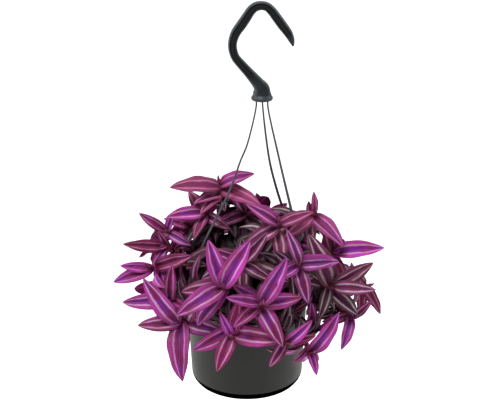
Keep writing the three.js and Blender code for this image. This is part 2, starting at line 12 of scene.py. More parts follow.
import bpy
import numpy as np
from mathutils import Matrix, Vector
from mathutils.kdtree import KDTree


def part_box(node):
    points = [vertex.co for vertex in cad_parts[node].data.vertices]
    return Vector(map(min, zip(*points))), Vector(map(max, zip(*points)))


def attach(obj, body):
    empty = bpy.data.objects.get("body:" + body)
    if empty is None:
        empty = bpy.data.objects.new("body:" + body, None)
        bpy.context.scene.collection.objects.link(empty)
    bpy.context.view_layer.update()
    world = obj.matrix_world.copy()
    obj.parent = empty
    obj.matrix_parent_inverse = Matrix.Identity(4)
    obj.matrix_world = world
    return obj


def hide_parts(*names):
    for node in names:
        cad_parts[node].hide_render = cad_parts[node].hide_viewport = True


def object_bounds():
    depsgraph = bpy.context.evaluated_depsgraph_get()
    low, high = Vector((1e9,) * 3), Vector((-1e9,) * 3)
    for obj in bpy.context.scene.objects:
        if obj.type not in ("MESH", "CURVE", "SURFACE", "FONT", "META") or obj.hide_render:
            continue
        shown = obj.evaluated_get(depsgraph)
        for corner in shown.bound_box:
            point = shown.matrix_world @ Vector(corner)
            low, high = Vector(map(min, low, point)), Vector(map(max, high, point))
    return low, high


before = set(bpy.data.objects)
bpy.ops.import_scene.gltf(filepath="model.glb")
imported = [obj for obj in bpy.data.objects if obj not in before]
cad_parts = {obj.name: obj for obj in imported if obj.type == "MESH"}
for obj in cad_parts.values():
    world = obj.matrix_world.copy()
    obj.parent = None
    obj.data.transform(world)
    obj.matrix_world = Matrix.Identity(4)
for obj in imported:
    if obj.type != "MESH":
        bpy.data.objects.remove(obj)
solid_box = [list(corner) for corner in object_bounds()]
print("solids:", len(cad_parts), "box:", [[round(x, 3) for x in corner] for corner in solid_box])

# %% [markdown]
# ## Units
#
# Pots and leaves are measured in millimetres, with the pot's axis on Z and the saucer standing on z = 0.
# Blender works in metres here, and its origin is the hang point, so every point passes through one
# function. Another puts each new thing in the scene.

# %% From millimetres on the pot's axis to metres from the hang point
HANG_POINT = np.array([16.3, 0, 442])
UP = np.array([0.0, 0.0, 1.0])


def to_scene(points):
    return (np.asarray(points, float) - HANG_POINT) / 1000


def into_scene(name, data):
    made = bpy.data.objects.new(name, data)
    bpy.context.scene.collection.objects.link(made)
    return made


# %% [markdown]
# ## The camera
#
# The photograph looks down on the plant from a little over a metre away. The long lens keeps the pot's
# sides nearly parallel. All three numbers were found from the ellipse of the saucer and the length of the
# hook.

# %% Camera
CAMERA_PLACE = [3.6, -1250, 704.5]
CAMERA_TILT = 69
LENS = 85.03

camera = into_scene("camera", bpy.data.cameras.new("camera"))
camera.location = to_scene(CAMERA_PLACE)
camera.rotation_euler = (math.radians(CAMERA_TILT), 0, 0)
camera.data.lens = LENS
camera.data.sensor_width = 36
camera.data.clip_start = 0.05
camera.data.clip_end = 2000
bpy.context.scene.camera = camera
print("camera at", [round(x, 4) for x in camera.location])

# %% [markdown]
# ## Shader sums in plain Python
#
# A finish is a small sum of patterns: a stripe mask, some noise, a few colours. Written as nodes it is a
# tangle, so this class wraps one output socket and lets Python's own operators add the Math nodes.
# Colours are mixed with `blend`, because a Math node would turn them grey.

# %% The class that wraps a socket
class Wire:
    """An output socket of a material, for Python's operators to work on."""

    def __init__(self, tree, socket=None):
        self.tree = tree
        self.socket = socket

    def node(self, kind, settings=(), inputs=(), output=0):
        made = self.tree.nodes.new(kind)
        for name, value in dict(settings).items():
            setattr(made, name, value)
        for name, value in dict(inputs).items():
            if isinstance(value, Wire):
                self.tree.links.new(value.socket, made.inputs[name])
            else:
                made.inputs[name].default_value = value
        return Wire(self.tree, made.outputs[output])

    def maths(self, operation, *values):
        return self.node("ShaderNodeMath", {"operation": operation}, dict(enumerate(values)))

    def __add__(self, other):
        return self.maths("ADD", self, other)

    def __sub__(self, other):
        return self.maths("SUBTRACT", self, other)

    def __rsub__(self, other):
        return self.maths("SUBTRACT", other, self)

    def __mul__(self, other):
        return self.maths("MULTIPLY", self, other)

    def __abs__(self):
        return self.maths("ABSOLUTE", self)

    def rise(self, start, end):
        """0 up to start, 1 from end, and a soft step between them."""
        settings = {"interpolation_type": "SMOOTHSTEP"}
        return self.node("ShaderNodeMapRange", settings, {"Value": self, "From Min": start, "From Max": end})

    def blend(self, first, second):
        """The first colour where this value is 0, the second where it is 1."""
        inputs = {0: self, 6: full(first), 7: full(second)}
        return self.node("ShaderNodeMix", {"data_type": "RGBA", "clamp_factor": True}, inputs, 2)

    def noise(self, scale, detail=3.0, roughness=0.5):
        inputs = {"Vector": self, "Scale": scale, "Detail": detail, "Roughness": roughness}
        return self.node("ShaderNodeTexNoise", (), inputs)

    def stretched(self, factors):
        return self.node("ShaderNodeVectorMath", {"operation": "MULTIPLY"}, {0: self, 1: factors})


def full(colour):
    return colour if isinstance(colour, Wire) else (*colour, 1)


def ink(*shades):
    """A colour from its red, green and blue as a screen shows them, from 0 to 255, for a shader."""
    return tuple((shade / 255) ** 2.2 for shade in shades)


# %% A finish starts from one shader, and ends with what varies over the surface
def start_finish(name, **uniform):
    """A new material: its wire to work from, and its shader with the numbers that are alike all over."""
    material = bpy.data.materials.new(name)
    material.use_nodes = True
    tree = material.node_tree
    shader = tree.nodes["Principled BSDF"]
    for socket, value in uniform.items():
        shader.inputs[socket.replace("_", " ")].default_value = value
    return material, Wire(tree), shader


def finish_with(wire, shader, colour, roughness, height, bump_depth):
    """Link the base colour and roughness, and a bump of so many metres for a height from 0 to 1."""
    tree = wire.tree
    tree.links.new(colour.socket, shader.inputs["Base Color"])
    tree.links.new(roughness.socket, shader.inputs["Roughness"])
    bump = wire.node("ShaderNodeBump", (), {"Height": height, "Strength": 1.0, "Distance": bump_depth})
    tree.links.new(bump.socket, shader.inputs["Normal"])


def object_place(wire):
    return wire.node("ShaderNodeTexCoord", (), (), "Object")


def read_point_values(wire, name):
    """The vector that the mesh carries under this name, whole and as its three numbers."""
    vector = wire.node("ShaderNodeAttribute", {"attribute_name": name}, (), "Vector")
    split = wire.node("ShaderNodeSeparateXYZ", (), {0: vector}).socket.node
    return vector, [Wire(wire.tree, split.outputs[k]) for k in range(3)]


# %% [markdown]
# ## Meshes from rings
#
# Nearly everything here is a skin over rings of points: a lathe-turned pot, a swept hook, a stem, even a
# leaf, whose ring runs over its upper face and back along its lower one. So one class collects rings,
# closes them, and gives each skin its own rectangle of a UV map, ready for baking.

# %% The class that collects skins
ATLAS = "OFBake"
CELL_MARGIN = 0.04
CAP_SIZE, CAP_GAP = 0.01, 0.02
QUAD = np.array([(0, 0), (1, 0), (1, 1), (0, 1)])


def spokes(count):
    """Directions spread evenly round the axis."""
    angles = 2 * np.pi * np.arange(count) / count
    return np.stack([np.cos(angles), np.sin(angles), 0 * angles], axis=-1)


class Skins:
    """Closed skins over rings of points, gathered into one mesh, with values for the shader at each point."""

    def __init__(self):
        self.points = []
        self.faces = []
        self.corners = []
        self.values = {}
        self.count = 0

    def add(self, rings, **values):
        rings = np.asarray(rings, float)
        turns, around = rings.shape[:2]
        index = np.arange(turns * around).reshape(turns, around) + self.count
        after = np.roll(index, -1, axis=1)
        sides = np.stack([index[:-1], after[:-1], after[1:], index[1:]], axis=-1)
        self.faces += sides.reshape(-1, 4).tolist() + [index[0][::-1].tolist(), index[-1].tolist()]
        low, left = np.mgrid[0:turns - 1, 0:around]
        places = (np.stack([left, low], axis=-1)[:, :, None] + QUAD) / (around, turns - 1)
        cap = CAP_SIZE * spokes(around)[:, :2] + (0.5, -CAP_GAP)
        self.corners.append(np.concatenate([places.reshape(-1, 2), cap, cap + (0, 1 + 2 * CAP_GAP)]))
        self.points.append(rings.reshape(-1, 3))
        for name, value in values.items():
            spread = np.broadcast_to(np.asarray(value, float), rings.shape)
            self.values.setdefault(name, []).append(spread.reshape(-1, 3))
        self.count += turns * around
        return self

    def mesh(self, name):
        mesh = bpy.data.meshes.new(name)
        mesh.from_pydata(to_scene(np.concatenate(self.points)).tolist(), [], self.faces)
        for label, rows in self.values.items():
            attribute = mesh.attributes.new(label, "FLOAT_VECTOR", "POINT")
            attribute.data.foreach_set("vector", np.concatenate(rows).ravel())
        layer = mesh.uv_layers.new(name=ATLAS)
        columns = math.ceil(math.sqrt(len(self.corners)))
        places = []
        for skin, corners in enumerate(self.corners):
            cell = (skin % columns, skin // columns)
            places.append((CELL_MARGIN + (1 - 2 * CELL_MARGIN) * corners + cell) / columns)
        layer.data.foreach_set("uv", np.concatenate(places).ravel())
        mesh.shade_smooth()
        return mesh


# %% [markdown]
# A new piece always goes through the same four steps: it becomes an object, gets the finish of its slot,
# rides on the body that it belongs to, and hides the plain solid that it stands for.

# %% Put a piece in the scene
finishes = {}


def place_piece(name, skins, slot, node):
    piece = into_scene(name, skins.mesh(name))
    piece.data.materials.append(finishes[slot])
    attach(piece, "root")
    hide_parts(node)
    return piece


def soften_edges(piece, degrees):
    """Shade smooth, but keep edges sharper than this angle crisp."""
    piece.data.shade_smooth()
    piece.data.set_sharp_from_angle(angle=math.radians(degrees))
    print(f"{piece.name}:", len(piece.data.polygons), "faces")


# %% [markdown]
# ## Moulded plastic
#
# Pot, saucer, hook and straps are injection-moulded plastic. The mould leaves a very fine grain, handling
# leaves faint scuffs, and dust settles in soft patches. Two sizes of noise make the grain and the
# patches, and the roughness follows the patches, because dusty plastic shines less. The hook also gets
# painted shade in its hollows and a painted highlight on its borders and its disc. Noise can't know where
# that is, so the hook's mesh carries marks that say so.

# %% The moulded plastic finish
def moulded_plastic(name, colour, dusty, roughness, gloss, streaks):
    material, wire, shader = start_finish(name, IOR=1.48, Specular_IOR_Level=gloss)
    place = object_place(wire)
    patches = place.noise(26, 4.0).rise(0.35, 0.75)
    fine = place.noise(2600, 2.0)
    lines = place.stretched((1, 1, 0.05)).noise(420, 3.0).rise(0.35, 0.8)
    dirt = patches * 0.6 + lines * streaks
    tone = (dirt * 0.55 + fine * 0.25).blend(colour, dusty)
    sheen = dirt * 0.16 + fine * 0.1 + roughness
    finish_with(wire, shader, tone, sheen, fine + lines * streaks, 0.00006)
    return material


def paint_shade_and_highlight(name, plastic, painted_shade, painted_highlight):
    """Paint shade into a finish in its hollows, and a highlight onto its borders, as the mesh's own marks
    say.
    """
    tree = plastic.node_tree
    socket = tree.nodes["Principled BSDF"].inputs["Base Color"]
    _, (shade_amount, highlight_amount, _) = read_point_values(Wire(tree), name)
    tone = (highlight_amount * 0.8).blend(Wire(tree, socket.links[0].from_socket), painted_highlight)
    tree.links.new((shade_amount * 0.85).blend(tone, painted_shade).socket, socket)


# Each plastic's own colour, its dusty colour, and its roughness, gloss and streaks
PLASTICS = {
    "pot_plastic": (ink(20, 21, 18), ink(44, 45, 40), 0.42, 0.26, 0.4),
    # The saucer's near-black colour is black plastic darkened further as painted shade
    "saucer_plastic": (ink(6, 8, 6), ink(14, 16, 13), 0.8, 0.0, 0.0),
    "hook_plastic": (ink(22, 26, 28), ink(48, 55, 58), 0.34, 0.22, 0.3),
    "strap_plastic": (ink(54, 54, 60), ink(88, 86, 98), 0.45, 0.3, 0.0),
}
# The hook's painted shade in the channel, and its painted highlight on the borders and the disc
HOOK_PAINTED_SHADE, HOOK_PAINTED_HIGHLIGHT = ink(12, 9, 10), ink(66, 73, 77)

for name, look in PLASTICS.items():
    finishes[name] = moulded_plastic(name, *look)
paint_shade_and_highlight("hook_painted_light", finishes["hook_plastic"], HOOK_PAINTED_SHADE, HOOK_PAINTED_HIGHLIGHT)
print("plastic finishes:", len(finishes))

# %% [markdown]
# ## Turned shapes with eased edges
#
# A moulded edge is never knife sharp. The profile of a turned piece is given by its corners alone, and
# each corner is then eased by a short curve before the profile is spun round the axis.

# %% Ease the corners of a profile, then spin it
TURN_FACETS = 144
EASE_STEPS, EASE_LIMIT = 3, 0.45


def eased(corners, reach):
    """The corners with each inner one replaced by a short curve that starts and ends so far from it."""
    corners = np.asarray(corners, float)
    t = np.linspace(0, 1, EASE_STEPS + 1)[:, None]
    line = [corners[:1]]
    for before, corner, after in zip(corners, corners[1:], corners[2:]):
        back, ahead = before - corner, after - corner
        start = corner + back * min(reach / np.linalg.norm(back), EASE_LIMIT)
        end = corner + ahead * min(reach / np.linalg.norm(ahead), EASE_LIMIT)
        line.append((1 - t) ** 2 * start + 2 * t * (1 - t) * corner + t * t * end)
    return np.concatenate([*line, corners[-1:]])


def turned(corners, reach):
    """A closed turned body. Its corners run from the axis, round the outside, and back to the axis."""
    profile = eased(corners, reach)[1:-1]
    return Skins().add(profile[:, None, :1] * spokes(TURN_FACETS) + profile[:, None, 1:] * UP)


def cut_away(piece, outlines, bottom, top):
    """Cut upright prisms over these outlines out of a piece for good."""
    for outline in outlines:
        prism = Skins().add([outline + bottom * UP, outline + top * UP])
        cutter = into_scene("cutter", prism.mesh("cutter"))
        cut = piece.modifiers.new("cut", "BOOLEAN")
        cut.object = cutter
        cut.solver = "EXACT"
        bpy.context.view_layer.objects.active = piece
        bpy.ops.object.modifier_apply(modifier=cut.name)
        bpy.data.objects.remove(cutter)


def at_angle(degrees, radius, z=0.0):
    return np.array([radius * math.cos(math.radians(degrees)), radius * math.sin(math.radians(degrees)), z])


# %% [markdown]
# ## The pot
#
# A 15 cm hanging pot has a thin tapered wall, an out-turned rim with a short skirt, and a stepped foot
# that the saucer clips over. It is turned from its profile, and then three slots for the straps are cut
# through the rim and four drain holes through the floor.

# %% Pot
RIM_RADIUS, RIM_TOP, RIM_THICK = 77, 116, 1.8
SKIRT_BOTTOM, SKIRT_THICK = 108, 1.4
WALL_THICK, WALL_TOP_RADIUS, WALL_FOOT_RADIUS, WALL_FOOT = 1.5, 70.4, 65.7, 10.5
STEP_RADIUS, STEP_TOP = 61.8, WALL_FOOT + WALL_THICK
HEEL = (58, 3.9)
FLOOR_UNDERSIDE, FLOOR_TOP = 4, 6
FOOT_RING = {"inner": 53.5, "outer": 55, "bottom": 2}
INSIDE = {"heel": 57.4, "step": 60.8}
STRAP_RIMS = {"strap_left": 200, "strap_back": 42, "strap_front": 322}
CLIP_RADIUS = 73.2
SLOT = {"half_out": 1.2, "half_along": 4.0, "below": 5, "above": 3}
DRAIN = {"holes": 4, "radius": 4, "from_axis": 35, "facets": 24}
CUT_PAST = 2


def inner_wall_radius(z):
    share = (z - STEP_TOP) / (RIM_TOP - STEP_TOP)
    return WALL_FOOT_RADIUS + (WALL_TOP_RADIUS - WALL_FOOT_RADIUS) * share - WALL_THICK


under_rim, in_skirt = RIM_TOP - RIM_THICK, RIM_RADIUS - SKIRT_THICK
pot_profile = [
    (0, FLOOR_UNDERSIDE), (1, FLOOR_UNDERSIDE), (FOOT_RING["inner"], FLOOR_UNDERSIDE),
    (FOOT_RING["inner"], FOOT_RING["bottom"]), (FOOT_RING["outer"], FOOT_RING["bottom"]), HEEL,
    (STEP_RADIUS, WALL_FOOT), (WALL_FOOT_RADIUS, WALL_FOOT), (WALL_TOP_RADIUS, under_rim),
    (in_skirt, under_rim), (in_skirt, SKIRT_BOTTOM), (RIM_RADIUS, SKIRT_BOTTOM), (RIM_RADIUS, RIM_TOP),
    (inner_wall_radius(RIM_TOP), RIM_TOP), (inner_wall_radius(STEP_TOP), STEP_TOP),
    (INSIDE["step"], STEP_TOP), (INSIDE["heel"], FLOOR_TOP), (1, FLOOR_TOP), (0, FLOOR_TOP),
]


def slot_outline(degrees):
    corners = []
    for out, along in QUAD * 2 - 1:
        corner = at_angle(degrees, CLIP_RADIUS + out * SLOT["half_out"])
        corners.append(corner + at_angle(degrees + 90, along * SLOT["half_along"]))
    return np.array(corners)


drain = DRAIN["radius"] * spokes(DRAIN["facets"])
drains = [at_angle(45 + 360 / DRAIN["holes"] * k, DRAIN["from_axis"]) + drain for k in range(DRAIN["holes"])]
pot = place_piece("pot_shell", turned(pot_profile, reach=0.6), "pot_plastic", "pot")
cut_away(pot, map(slot_outline, STRAP_RIMS.values()), RIM_TOP - SLOT["below"], RIM_TOP + SLOT["above"])
cut_away(pot, drains, 0, FLOOR_TOP + CUT_PAST)
soften_edges(pot, degrees=32)

# %% [markdown]
# ## The drip saucer
#
# The black saucer clips on under the foot's step and shows as a dark band that curves in to a flat base.
# Its near-black colour is the black plastic darkened further as painted shade. It is turned like the pot,
# with a larger ease where its side bends into the floor, and its lip flares out to stand flush with the
# pot's wall.

# %% Saucer
SAUCER_FLOOR, SAUCER_BEND, SAUCER_BELLY, SAUCER_EDGE, SAUCER_LIP = 57, (61.2, 1.9), (64.4, 6), 65.8, 62.3
SAUCER_HOLLOW, SAUCER_INNER_FLOOR, SAUCER_THICK = (58.6, 3.4), 55.5, 1.7
CLEARANCE = 0.3

saucer_profile = [
    (0, 0), (1, 0), (SAUCER_FLOOR, 0), SAUCER_BEND, SAUCER_BELLY, (SAUCER_EDGE, WALL_FOOT - CLEARANCE),
    (SAUCER_LIP, WALL_FOOT - CLEARANCE), SAUCER_HOLLOW, (SAUCER_INNER_FLOOR, SAUCER_THICK), (1, SAUCER_THICK),
    (0, SAUCER_THICK),
]
saucer = place_piece("saucer", turned(saucer_profile, reach=1.2), "saucer_plastic", "drip_saucer")
soften_edges(saucer, degrees=40)

# %% [markdown]
# ## Seeded draws and soft noise
#
# Crumbs of soil and leaves both need scatter that comes out alike each time. The draws come from one
# small generator, the same one that placed the solids, so the leaves grown below match them.

# %% Draws that come out alike each time
DRAW_FACTOR, DRAW_STEP, DRAW_RANGE = 1664525, 1013904223, 2 ** 32


def make_draws(seed):
    state = seed

    def draw():
        nonlocal state
        state = (state * DRAW_FACTOR + DRAW_STEP) % DRAW_RANGE
        return state / DRAW_RANGE

    return draw


# %% [markdown]
# ## The soil
#
# Potting soil is a loose mix of crumbs, fibres and a few pale grains of perlite. The surface is a disc
# that is crowned in the middle and lifted by a few waves of different lengths, with crumbs pressed into
# it.

# %% The soil's surface and its crumbs
SOIL_EDGE, SOIL_CROWN = 101, 105.5
SOIL_RINGS, SOIL_SPOKES = 34, 120
CRUMBS, SMALLEST_CRUMB, CRUMB_GROWTH = 420, 0.7, 1.8
PERLITE_FROM = 0.93
SOIL_SEED = 97


def soil_height(radius):
    return SOIL_CROWN + (SOIL_EDGE - SOIL_CROWN) * (radius / inner_wall_radius(SOIL_EDGE)) ** 2


def soil_lumps(x, y):
    waves = ((0.21, 0.13, 0.9, 0.0), (-0.17, 0.24, 0.8, 1.7), (0.55, -0.42, 0.45, 0.4), (0.9, 0.8, 0.3, 2.2))
    return sum(size * np.sin(a * x + b * y + phase) for a, b, size, phase in waves)


def crumb_rings(centre, size, draw):
    """A rough little ball, squashed and lopsided."""
    rings = []
    for level in (-0.9, -0.35, 0.35, 0.9):
        width = math.sqrt(1 - level * level)
        ring = []
        for k in range(6):
            reach = size * width * (0.75 + 0.5 * draw())
            ring.append(centre + at_angle(60 * k, reach) + level * size * (0.6 + 0.3 * draw()) * UP)
        rings.append(ring)
    return rings


edge, above_step = inner_wall_radius(SOIL_EDGE) - CLEARANCE, STEP_TOP + CLEARANCE
soil_rings = [radius * spokes(SOIL_SPOKES) + height * UP for radius, height in (
    (INSIDE["heel"] - CLEARANCE, FLOOR_TOP + CLEARANCE), (INSIDE["step"] - CLEARANCE, above_step),
    (inner_wall_radius(above_step) - CLEARANCE, above_step))]
for i in range(SOIL_RINGS + 1):
    radius = edge * (1 - i / SOIL_RINGS) + 0.4
    flat = radius * spokes(SOIL_SPOKES)
    height = soil_height(radius) + soil_lumps(flat[:, 0], flat[:, 1]) * min(1, (edge + 1 - radius) / 4)
    soil_rings.append(flat + height[:, None] * UP)
soil_skins = Skins().add(soil_rings, grain=[0.5, 0, 0])
draw = make_draws(SOIL_SEED)
for _ in range(CRUMBS):
    radius, around = edge * 0.96 * math.sqrt(draw()), 360 * draw()
    middle = at_angle(around, radius, soil_height(radius))
    middle[2] += soil_lumps(middle[0], middle[1])
    size = SMALLEST_CRUMB + CRUMB_GROWTH * draw() ** 3
    soil_skins.add(crumb_rings(middle, size, draw), grain=[draw(), draw() > PERLITE_FROM, 0])
print("crumbs:", CRUMBS)

# %% The finish of the soil
SOIL_DARK, SOIL_BROWN, PERLITE = (0.008, 0.005, 0.003), (0.07, 0.042, 0.024), (0.55, 0.53, 0.48)


def soil_finish():
    material, wire, shader = start_finish("soil", Specular_IOR_Level=0.3)
    _, (grain, pale, _) = read_point_values(wire, "grain")
    place = object_place(wire)
    crumbs = place.noise(900, 4.0, 0.7)
    clods = place.noise(160, 3.0)
    brown = (crumbs * 0.7 + clods * 0.3 + grain * 0.3 - 0.15).blend(SOIL_DARK, SOIL_BROWN)
    finish_with(wire, shader, pale.blend(brown, PERLITE), crumbs * 0.3 + 0.7, crumbs + clods, 0.0012)
    return material


finishes["soil"] = soil_finish()
soil = place_piece("soil", soil_skins, "soil", "potting_soil")
print("soil:", len(soil.data.polygons), "faces")

# %% [markdown]
# ## Smooth routes
#
# The hook and the straps follow a Catmull-Rom curve through a few points, and each stem follows a Bezier
# arc. Both are wrapped in one class, which also measures the length along the curve, so that rings,
# leaves and samples can be spaced by distance.

# %% The class of a route
LENGTH_STEPS = 200
TANGENT_STEP = 0.0001


def unit(vectors):
    return vectors / np.linalg.norm(vectors, axis=-1, keepdims=True)


class Route:
    """A curve whose place at t from 0 to 1 is given by a function."""

    def __init__(self, place):
        self.place = place
        self.steps = np.linspace(0, 1, LENGTH_STEPS + 1)
        gaps = np.linalg.norm(np.diff(place(self.steps), axis=0), axis=1)
        self.measured = np.concatenate([[0], np.cumsum(gaps)])
        self.length = self.measured[-1]

    def tangent(self, t):
        t = np.asarray(t, float)
        return unit(self.place(np.minimum(t + TANGENT_STEP, 1)) - self.place(np.maximum(t - TANGENT_STEP, 0)))

    def t_at(self, share):
        return np.interp(np.asarray(share, float) * self.length, self.measured, self.steps)

    def at(self, share):
        return self.place(self.t_at(share))

    def tangent_at(self, share):
        return self.tangent(self.t_at(share))


def bezier(start, lift, lead, tip):
    def place(t):
        t = np.asarray(t, float)[..., None]
        s = 1 - t
        return s ** 3 * start + 3 * s * s * t * lift + 3 * s * t * t * lead + t ** 3 * tip

    return Route(place)


def through(points):
    """A centripetal Catmull-Rom curve through the points."""
    points = np.asarray(points, float)
    padded = np.vstack([2 * points[0] - points[1], points, 2 * points[-1] - points[-2]])
    knots = np.sqrt(np.linalg.norm(np.diff(padded, axis=0), axis=1))

    def place(t):
        row = np.asarray(t, float) * (len(points) - 1)
        i = np.minimum(row.astype(int), len(points) - 2)
        w = (row - i)[..., None]
        before, here, there, after = (padded[i + k] for k in range(4))
        d0, d1, d2 = (knots[i + k][..., None] for k in range(3))
        leave = ((here - before) / d0 - (there - before) / (d0 + d1) + (there - here) / d1) * d1
        arrive = ((there - here) / d1 - (after - here) / (d1 + d2) + (after - there) / d2) * d1
        c2 = 3 * (there - here) - 2 * leave - arrive
        c3 = 2 * (here - there) + leave + arrive
        return here + w * (leave + w * (c2 + w * c3))

    return Route(place)


# %% [markdown]
# ## The hook
#
# The hook is one moulded bar. It leaves a round disc at its foot through a flare, leans out, turns back
# over the crook and ends in a slanted point. Thick plastic shrinks as it cools, so its two flat sides are
# hollowed to a shallow channel between raised borders. The section's size is given beside each point of
# the middle line, and the channel is pressed into the section's rings. The rings also carry marks of
# painted shade in the channel and of a painted highlight on the borders. Cutting the sockets wipes these,
# so afterwards they are written back by nearest point.

# %% Sections of a moulded bar
CHANNEL = {"deep": 2.4, "floor": 0.42, "border": 0.68, "from": 0.1, "to": 0.95, "fade": 0.05}


def eased_share(share):
    share = np.clip(share, 0, 1)
    return share * share * (3 - 2 * share)


def outline(facets, squareness):
    """The section's unit outline: how far each point lies across and along."""
    angle = 2 * np.pi * (np.arange(facets) + 0.5) / facets
    c, s = np.cos(angle), np.sin(angle)
    reach = (np.abs(c) ** squareness + np.abs(s) ** squareness) ** (-1 / squareness)
    return reach * c, reach * s


def in_channel(side):
    """1 on the channel's floor, 0 on the borders beside it."""
    return eased_share((CHANNEL["border"] - np.abs(side)) / (CHANNEL["border"] - CHANNEL["floor"]))


def section(centre, across, along, half_across, half_along, facets, squareness=2.0, channel=0.0):
    """A rounded section, squarer as the power grows, with a channel of some depth in both across sides."""
    out, side = outline(facets, squareness)
    reach = half_across * out - channel * in_channel(side) * np.sign(out)
    return centre + reach[:, None] * across + (half_along * side)[:, None] * along


def section_across(centre, tangent, side, half_side, half_other, facets, squareness=2.0):
    """A section at right angles to a route's tangent, with its first half width towards the side."""
    across = unit(side - tangent * (tangent @ side))
    return section(centre, across, np.cross(tangent, across), half_side, half_other, facets, squareness)


# %% The marks for the painted shade and highlight, and how they outlive a cut
HOOK_FACETS, HOOK_SQUARENESS = 64, 2.4
HIGHLIGHT_FROM, HIGHLIGHT_TO = 0.3, 0.85


def hook_painted_light(depth):
    """Marks of one section: painted shade as deep as the channel, and a painted highlight out on the borders.
    """
    _, side = outline(HOOK_FACETS, HOOK_SQUARENESS)
    outer = eased_share((side - HIGHLIGHT_FROM) / (HIGHLIGHT_TO - HIGHLIGHT_FROM))
    inner = 0.5 * eased_share((-side - CHANNEL["border"]) / (1 - CHANNEL["border"]))
    return np.stack([in_channel(side) * depth / CHANNEL["deep"], np.maximum(outer, inner), 0 * side], axis=-1)


def mark_again(mesh, name, points, values):
    """Cutting wipes a mesh's marks, so each vertex takes those of the nearest point from before."""
    near = KDTree(len(points))
    for i, point in enumerate(points):
        near.insert(point, i)
    near.balance()
    nearest = [near.find(vertex.co)[1] for vertex in mesh.vertices]
    mesh.attributes[name].data.foreach_set("vector", values[nearest].ravel())


# %% The hook's rings, from its middle line as (x, height, half width) and its disc as (radius, height)
HOOK_X = 16.8
HOOK_LINE = [
    (17.2, 349.6, 8.4), (16.5, 355.5, 7.6), (12.5, 361.5, 6), (3.4, 372, 5.3), (-5.8, 382.3, 5),
    (-12.4, 390.7, 4.7), (-15.1, 399.6, 4.8), (-15, 407.5, 4.9), (-11.8, 417, 5.3), (-5.2, 426.6, 5.6),
    (0.2, 434.6, 5.4), (4.7, 441.4, 5.2), (9.9, 445.6, 5), (16.3, 446.8, 4.8), (21.9, 445.4, 4.8),
    (26.5, 441.4, 5), (31.7, 434.6, 5.2), (38.4, 425.4, 5.2), (44.8, 416.7, 4.7), (48.4, 409.2, 3.4),
    (50.3, 402.8, 1),
]
HOOK_SECTIONS, HOOK_HALF_DEPTH = 160, 5.2
DISC_RINGS = [
    (10.4, 342.6), (11.2, 342.8), (11.7, 343.3), (12, 344), (12, 345.3), (11.7, 346.1), (11.2, 346.8),
    (10.7, 347.4),
]
FLARE = {"along": 1.5, "across": 3.0, "aside": 0.6, "fade": 0.2}
SIDEWAYS = np.array([0.0, 1.0, 0.0])


def channel_depth(share, half):
    """How deep the channel is along the hook: it fades out near the foot and the tip."""
    inside = min(share - CHANNEL["from"], CHANNEL["to"] - share) / CHANNEL["fade"]
    return CHANNEL["deep"] * min(max(inside, 0), 1) * min(1, half / 4)


def hook_rings():
    rings = [section(np.array([HOOK_X, 0, z]), SIDEWAYS, np.array([-1.0, 0, 0]), radius, radius, HOOK_FACETS)
             for radius, z in DISC_RINGS]
    # The whole disc carries a painted highlight.
    marks = [np.full((HOOK_FACETS, 3), [0, 0.6, 0])] * len(rings)
    line = through([(x, 0, z) for x, z, _ in HOOK_LINE])
    halves = [half for _, _, half in HOOK_LINE]
    for share in np.linspace(0, 1, HOOK_SECTIONS + 1):
        half = np.interp(share * (len(HOOK_LINE) - 1), np.arange(len(HOOK_LINE)), halves)
        along = unit(np.cross(line.tangent(share), SIDEWAYS))
        flare = 1 - eased_share(share / FLARE["fade"])
        depth = channel_depth(share, half)
        rings.append(section(
            line.place(share) + flare * FLARE["aside"] * along, SIDEWAYS, along,
            min(half, HOOK_HALF_DEPTH) + flare * FLARE["across"],
            half + flare * FLARE["along"], HOOK_FACETS, HOOK_SQUARENESS, depth))
        marks.append(hook_painted_light(depth))
    return rings, np.array(marks)


# %% Hook
SOCKET = {"radius": 1.4, "facets": 16, "from_axis": 7, "mouth": 343.4, "top": 347.4}
STRAP_DISCS = {"strap_left": 205, "strap_back": 85, "strap_front": 335}


def socket_at(name, z):
    return at_angle(STRAP_DISCS[name], SOCKET["from_axis"], z) + HOOK_X * np.array([1.0, 0, 0])


rings, marks = hook_rings()
hook = place_piece("hook", Skins().add(rings, hook_painted_light=marks), "hook_plastic", "hanger_hook")
sockets = [socket_at(name, 0) + SOCKET["radius"] * spokes(SOCKET["facets"]) for name in STRAP_DISCS]
cut_away(hook, sockets, SOCKET["mouth"] - CUT_PAST, SOCKET["top"])
mark_again(hook.data, "hook_painted_light", to_scene(np.concatenate(rings)).tolist(), marks.reshape(-1, 3))
soften_edges(hook, degrees=50)

# %% [markdown]
# ## The straps
#
# Each strap is a thin moulded strip: nearly round where it plugs into the hook's disc, flatter on its way
# down, and ending in a barbed clip in the rim's slot. The points are the ones that the photograph shows,
# so the straps bend as they do there.

# %% Where each strap runs, down from its socket
STRAP_ROUTES = {
    "strap_left": [
        (0.3, -7, 292.5), (-6.5, -9, 276), (-19.5, -11.5, 239.3), (-36.5, -14.5, 204.1),
        (-49.5, -17.5, 177.4), (-60.5, -20.5, 148.5), (-68, -24, 126.5)],
    "strap_back": [
        (25.7, 20, 265.5), (34.8, 30, 225.5), (44.5, 39, 190.5), (51.5, 45.5, 154.5), (55, 48.5, 128.5)],
    "strap_front": [
        (36.1, -17, 278.4), (49.8, -31, 222.8), (57.5, -40, 190.4), (61.5, -46, 160.5), (60, -46, 131.5)],
}
STRAP_LEADS = {"under_disc": 7, "over_rim": 3}


